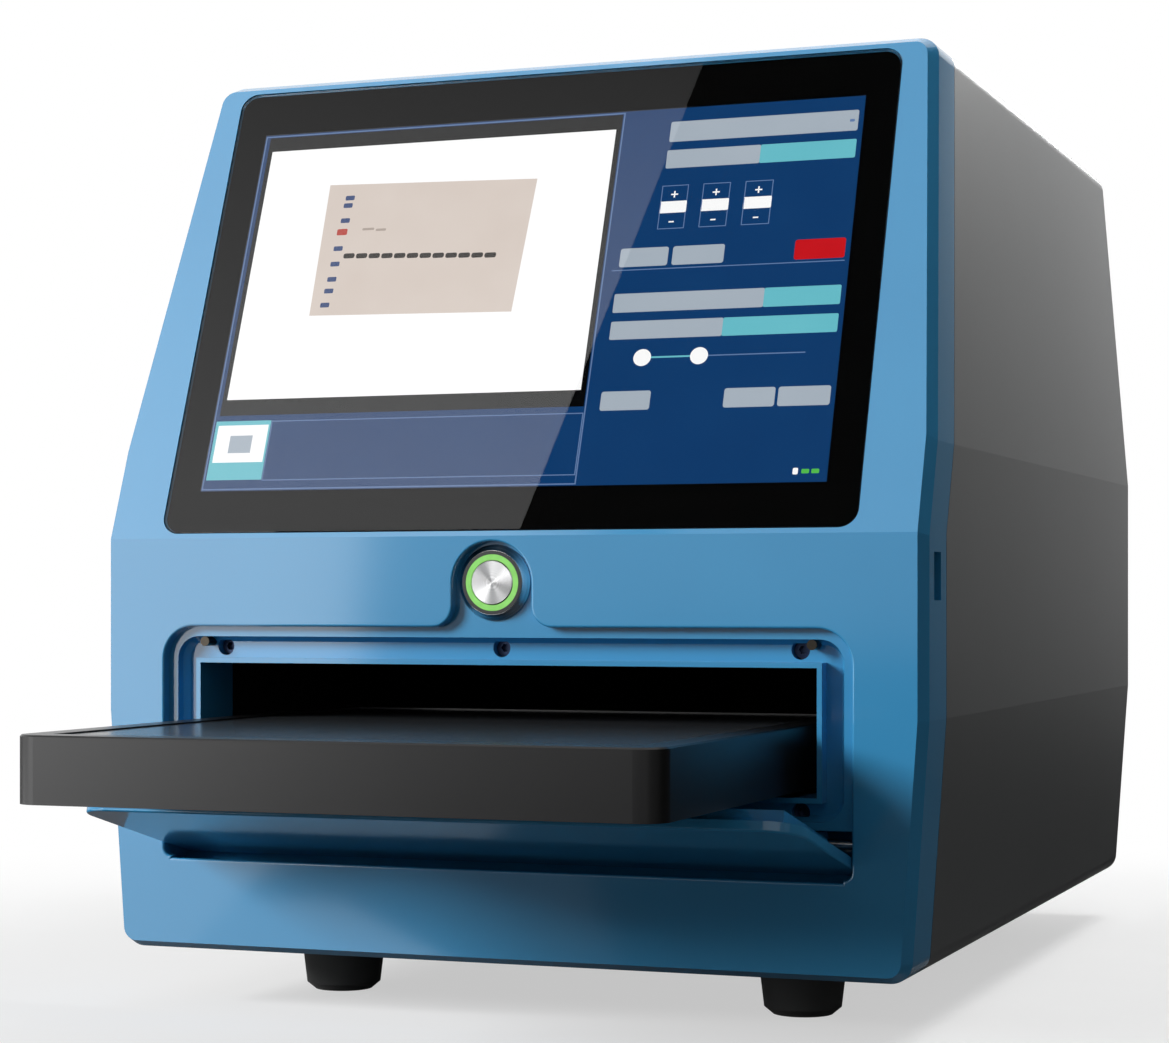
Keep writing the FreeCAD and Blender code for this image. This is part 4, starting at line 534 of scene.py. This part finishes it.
def bench():
    """Pale floor that keeps the shadow near the cabinet and runs to plain white far off."""
    floor = start("bench_top", "plane", size=14.0)
    made, tree, shader = begin("pale_bench_laminate", {"Roughness": 0.7, "IOR": 1.5,
                                                       "Specular IOR Level": 0.2})
    path = add(tree, "LightPath", {})
    grain = add(tree, "MapRange", {"Value": noise(tree, 80.0), "To Min": 0.82, "To Max": 0.88})
    bounced = add(tree, "Math", {"operation": "MAXIMUM", 0: path.outputs["Is Diffuse Ray"],
                                 1: path.outputs["Is Glossy Ray"]})
    tone = add(tree, "Mix", {"data_type": "FLOAT", 0: bounced.outputs[0],
                             2: grain.outputs["Result"], 3: 0.16})
    tree.links.new(tone.outputs[0], shader.inputs["Base Color"])
    place = add(tree, "TexCoord", {})
    reach = add(tree, "VectorMath", {"operation": "LENGTH", 0: place.outputs["Object"]})
    far = add(tree, "MapRange", {"Value": reach.outputs["Value"], "From Min": 0.18, "From Max": 0.6,
                                 "To Min": 0.55, "interpolation_type": "SMOOTHSTEP"})
    seen = add(tree, "Math", {"operation": "MAXIMUM", 0: path.outputs["Is Camera Ray"],
                              1: path.outputs["Is Transmission Ray"]})
    share = add(tree, "Math", {"operation": "MULTIPLY", 0: far.outputs["Result"], 1: seen.outputs[0]})
    white = add(tree, "Emission", {"Strength": 1.0})
    blend = add(tree, "MixShader", {0: share.outputs[0], 1: shader.outputs["BSDF"],
                                    2: white.outputs["Emission"]})
    ending = [part for part in tree.nodes if part.type == "OUTPUT_MATERIAL"][0]
    tree.links.new(blend.outputs["Shader"], ending.inputs["Surface"])
    floor.data.materials.append(made)


def surroundings():
    """White for what the eye, metal and glass see; a modest even light for everything else."""
    world = bpy.data.worlds.new("studio_white")
    world.use_nodes = True
    tree = world.node_tree
    tree.nodes.clear()
    path = add(tree, "LightPath", {})
    direct = add(tree, "Math", {"operation": "MAXIMUM", 0: path.outputs["Is Camera Ray"],
                                1: path.outputs["Is Glossy Ray"]})
    seen = add(tree, "Math", {"operation": "MAXIMUM", 0: direct.outputs[0],
                              1: path.outputs["Is Transmission Ray"]})
    level = add(tree, "MapRange", {"Value": seen.outputs[0], "To Min": 0.2, "To Max": 1.0})
    sky = add(tree, "Background", {"Color": linear("FFFFFF"), "Strength": level.outputs["Result"]})
    add(tree, "OutputWorld", {"Surface": sky.outputs["Background"]})
    bpy.context.scene.world = world


def light_only(source, nodes):
    """Let a lamp or a card light just these sub-parts."""
    lit = bpy.data.collections.new(source.name + "_lit")
    for node in nodes:
        lit.objects.link(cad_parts[node])
    source.light_linking.receiver_collection = lit


def lamp(name, place, aim, wide, tall, power, only=()):
    """A soft rectangular lamp, turned to a point it lights.

    With `only`, it is a sheen on those sub-parts' polish and lights nothing else.
    """
    data = bpy.data.lights.new(name, "AREA")
    data.shape = "RECTANGLE"
    data.size = wide
    data.size_y = tall
    data.energy = power
    made = bpy.data.objects.new(name, data)
    made.location = place
    made.rotation_euler = (Vector(aim) - Vector(place)).to_track_quat("-Z", "Y").to_euler()
    made.visible_glossy = bool(only)
    made.visible_diffuse = not only
    made.visible_transmission = False
    made.visible_camera = False
    bpy.context.scene.collection.objects.link(made)
    if only:
        light_only(made, only)


def card(name, corners, low, high, foot=0.0, head=1.0, only=()):
    """A studio card that only polished surfaces see, so that it shapes their reflections.

    It glows with `low` at the height `foot` and with `high` at the height `head`.
    """
    flat = start(name, "plane", size=2.0)
    for corner, place in zip(flat.data.vertices, corners):
        corner.co = place
    made = bpy.data.materials.new(name + "_face")
    made.use_nodes = True
    tree = made.node_tree
    tree.nodes.clear()
    point = add(tree, "NewGeometry", {})
    height = add(tree, "SeparateXYZ", {"Vector": point.outputs["Position"]})
    level = add(tree, "MapRange", {"Value": height.outputs["Z"], "From Min": foot, "From Max": head,
                                   "To Min": low, "To Max": high})
    shade = add(tree, "Emission", {"Color": linear("FFFFFF"), "Strength": level.outputs["Result"]})
    add(tree, "OutputMaterial", {"Surface": shade.outputs["Emission"]})
    flat.data.materials.append(made)
    flat.visible_camera = False
    flat.visible_diffuse = False
    flat.visible_shadow = False
    if only:
        light_only(flat, only)


def studio():
    """The bench, the light round it, the lamps, and the cards that shape the reflections."""
    bench()
    surroundings()
    lamp("key_lamp", (-3.2, -2.85, 1.75), (0.0, 0.0, 0.15), 1.5, 1.5, 285.0)
    lamp("top_lamp", (0.3, 0.25, 0.85), (0.1, 0.15, 0.2), 0.4, 0.4, 5.0)
    lamp("left_sheen", (-0.87, -0.82, 1.0), (-0.13, -0.1, 0.25), 1.0, 1.0, 7.0, ["front_bezel"])
    lamp("key_sheen", (-3.2, -2.85, 1.75), (0.0, 0.0, 0.15), 1.5, 1.5, 500.0, ["front_bezel"])
    lamp("right_sheen", (0.18, -0.86, 1.09), (0.1, -0.1, 0.25), 1.1, 1.1, 6.0, ["front_bezel"])
    lamp("side_sheen", (0.33, 0.95, 0.75), (0.14, 0.0, 0.28), 0.3, 0.3, 7.0, ["housing_cover"])
    # two cards meet on a slanting line, which the glass mirrors from its upper to its lower edge
    top, bottom = Vector((-0.404, -0.923, 1.460)), Vector((-0.553, -1.146, 1.104))
    line = top - bottom
    upper, lower = top + line * 1.2, bottom - line * 1.2
    aside = Vector((1.0, -0.14, 0.13)) * 1.8
    card("dark_card", (lower, lower + aside, upper, upper + aside), 0.0, 0.0)
    card("grey_card", (lower - aside, lower, upper - aside, upper), 1.25, 0.42, 1.1, 1.5)
    # the side of the cabinet mirrors a card that pales upwards, and its foot a dark floor
    for name, near, far, low, high in (("side_card", -0.3, 0.66, 0.02, 0.02),
                                       ("side_card_middle", 0.66, 1.0, 0.1, 2.4),
                                       ("side_card_back", 1.0, 2.4, 0.7, 1.8)):
        # each stands on the bench and leans back like the cabinet's sloping seam
        card(name, ((0.3, near, 0.001), (0.3, far, 0.001), (0.3, near + 0.33, 0.6),
                    (0.3, far + 0.33, 0.6)), low, high, 0.05, 0.5)
    card("floor_card", ((0.15, -0.5, 0.0005), (1.2, -0.5, 0.0005), (0.15, 2.0, 0.0005),
                        (1.2, 2.0, 0.0005)), 0.03, 0.03)
    # a window to the left whitens the front's left third; low down the bench edge is dark
    card("window_card", ((-0.575, -1.2, 0.0), (-1.4, -1.2, 0.0), (-0.51, -1.2, 0.5),
                         (-1.4, -1.2, 0.5)), 4.6, 4.6)
    card("window_floor", ((-0.16, -0.2, 0.0006), (-0.56, -1.2, 0.0006), (-1.4, -0.2, 0.0006),
                          (-1.4, -1.2, 0.0006)), 2.6, 2.6)
    # the bench before the foot is pale to the left, where the lower front mirrors it, else dark
    card("foot_glow", ((0.03, -0.13, 0.0005), (-0.2, -0.43, 0.0005), (-0.45, -0.13, 0.0005),
                       (-0.6, -0.43, 0.0005)), 1.9, 1.9, only=["front_bezel"])
    card("foot_shade", ((0.5, -0.13, 0.0005), (0.5, -0.9, 0.0005), (0.05, -0.13, 0.0005),
                        (-0.27, -0.9, 0.0005)), 0.02, 0.02)
    # dark to the right of the camera: what the right-hand chamfers and the tray's corner mirror
    card("right_card", ((1.1, -1.3, 0.001), (1.1, 0.35, 0.001), (1.1, -1.3, 1.0),
                        (1.1, 0.35, 1.0)), 0.25, 0.25)
    card("low_card", ((-0.5, -1.25, 0.0), (0.6, -1.25, 0.0), (-0.5, -1.25, 0.1), (0.6, -1.25, 0.1)),
         0.05, 0.05)


def camera():
    """A long lens at the height of the tray, to the right of the cabinet's middle."""
    data = bpy.data.cameras.new("bench_camera")
    data.sensor_width = 36.0
    data.lens = 82.6
    data.shift_y = 0.067
    data.clip_start = 0.01
    eye = bpy.data.objects.new("bench_camera", data)
    eye.location = (0.3294, -0.9158, 0.1370)
    eye.rotation_euler = (math.radians(90.0 - 0.02), 0.0, math.radians(20.65))
    bpy.context.scene.collection.objects.link(eye)
    bpy.context.scene.camera = eye


studio()
camera()
bpy.context.scene.view_settings.view_transform = "Standard"
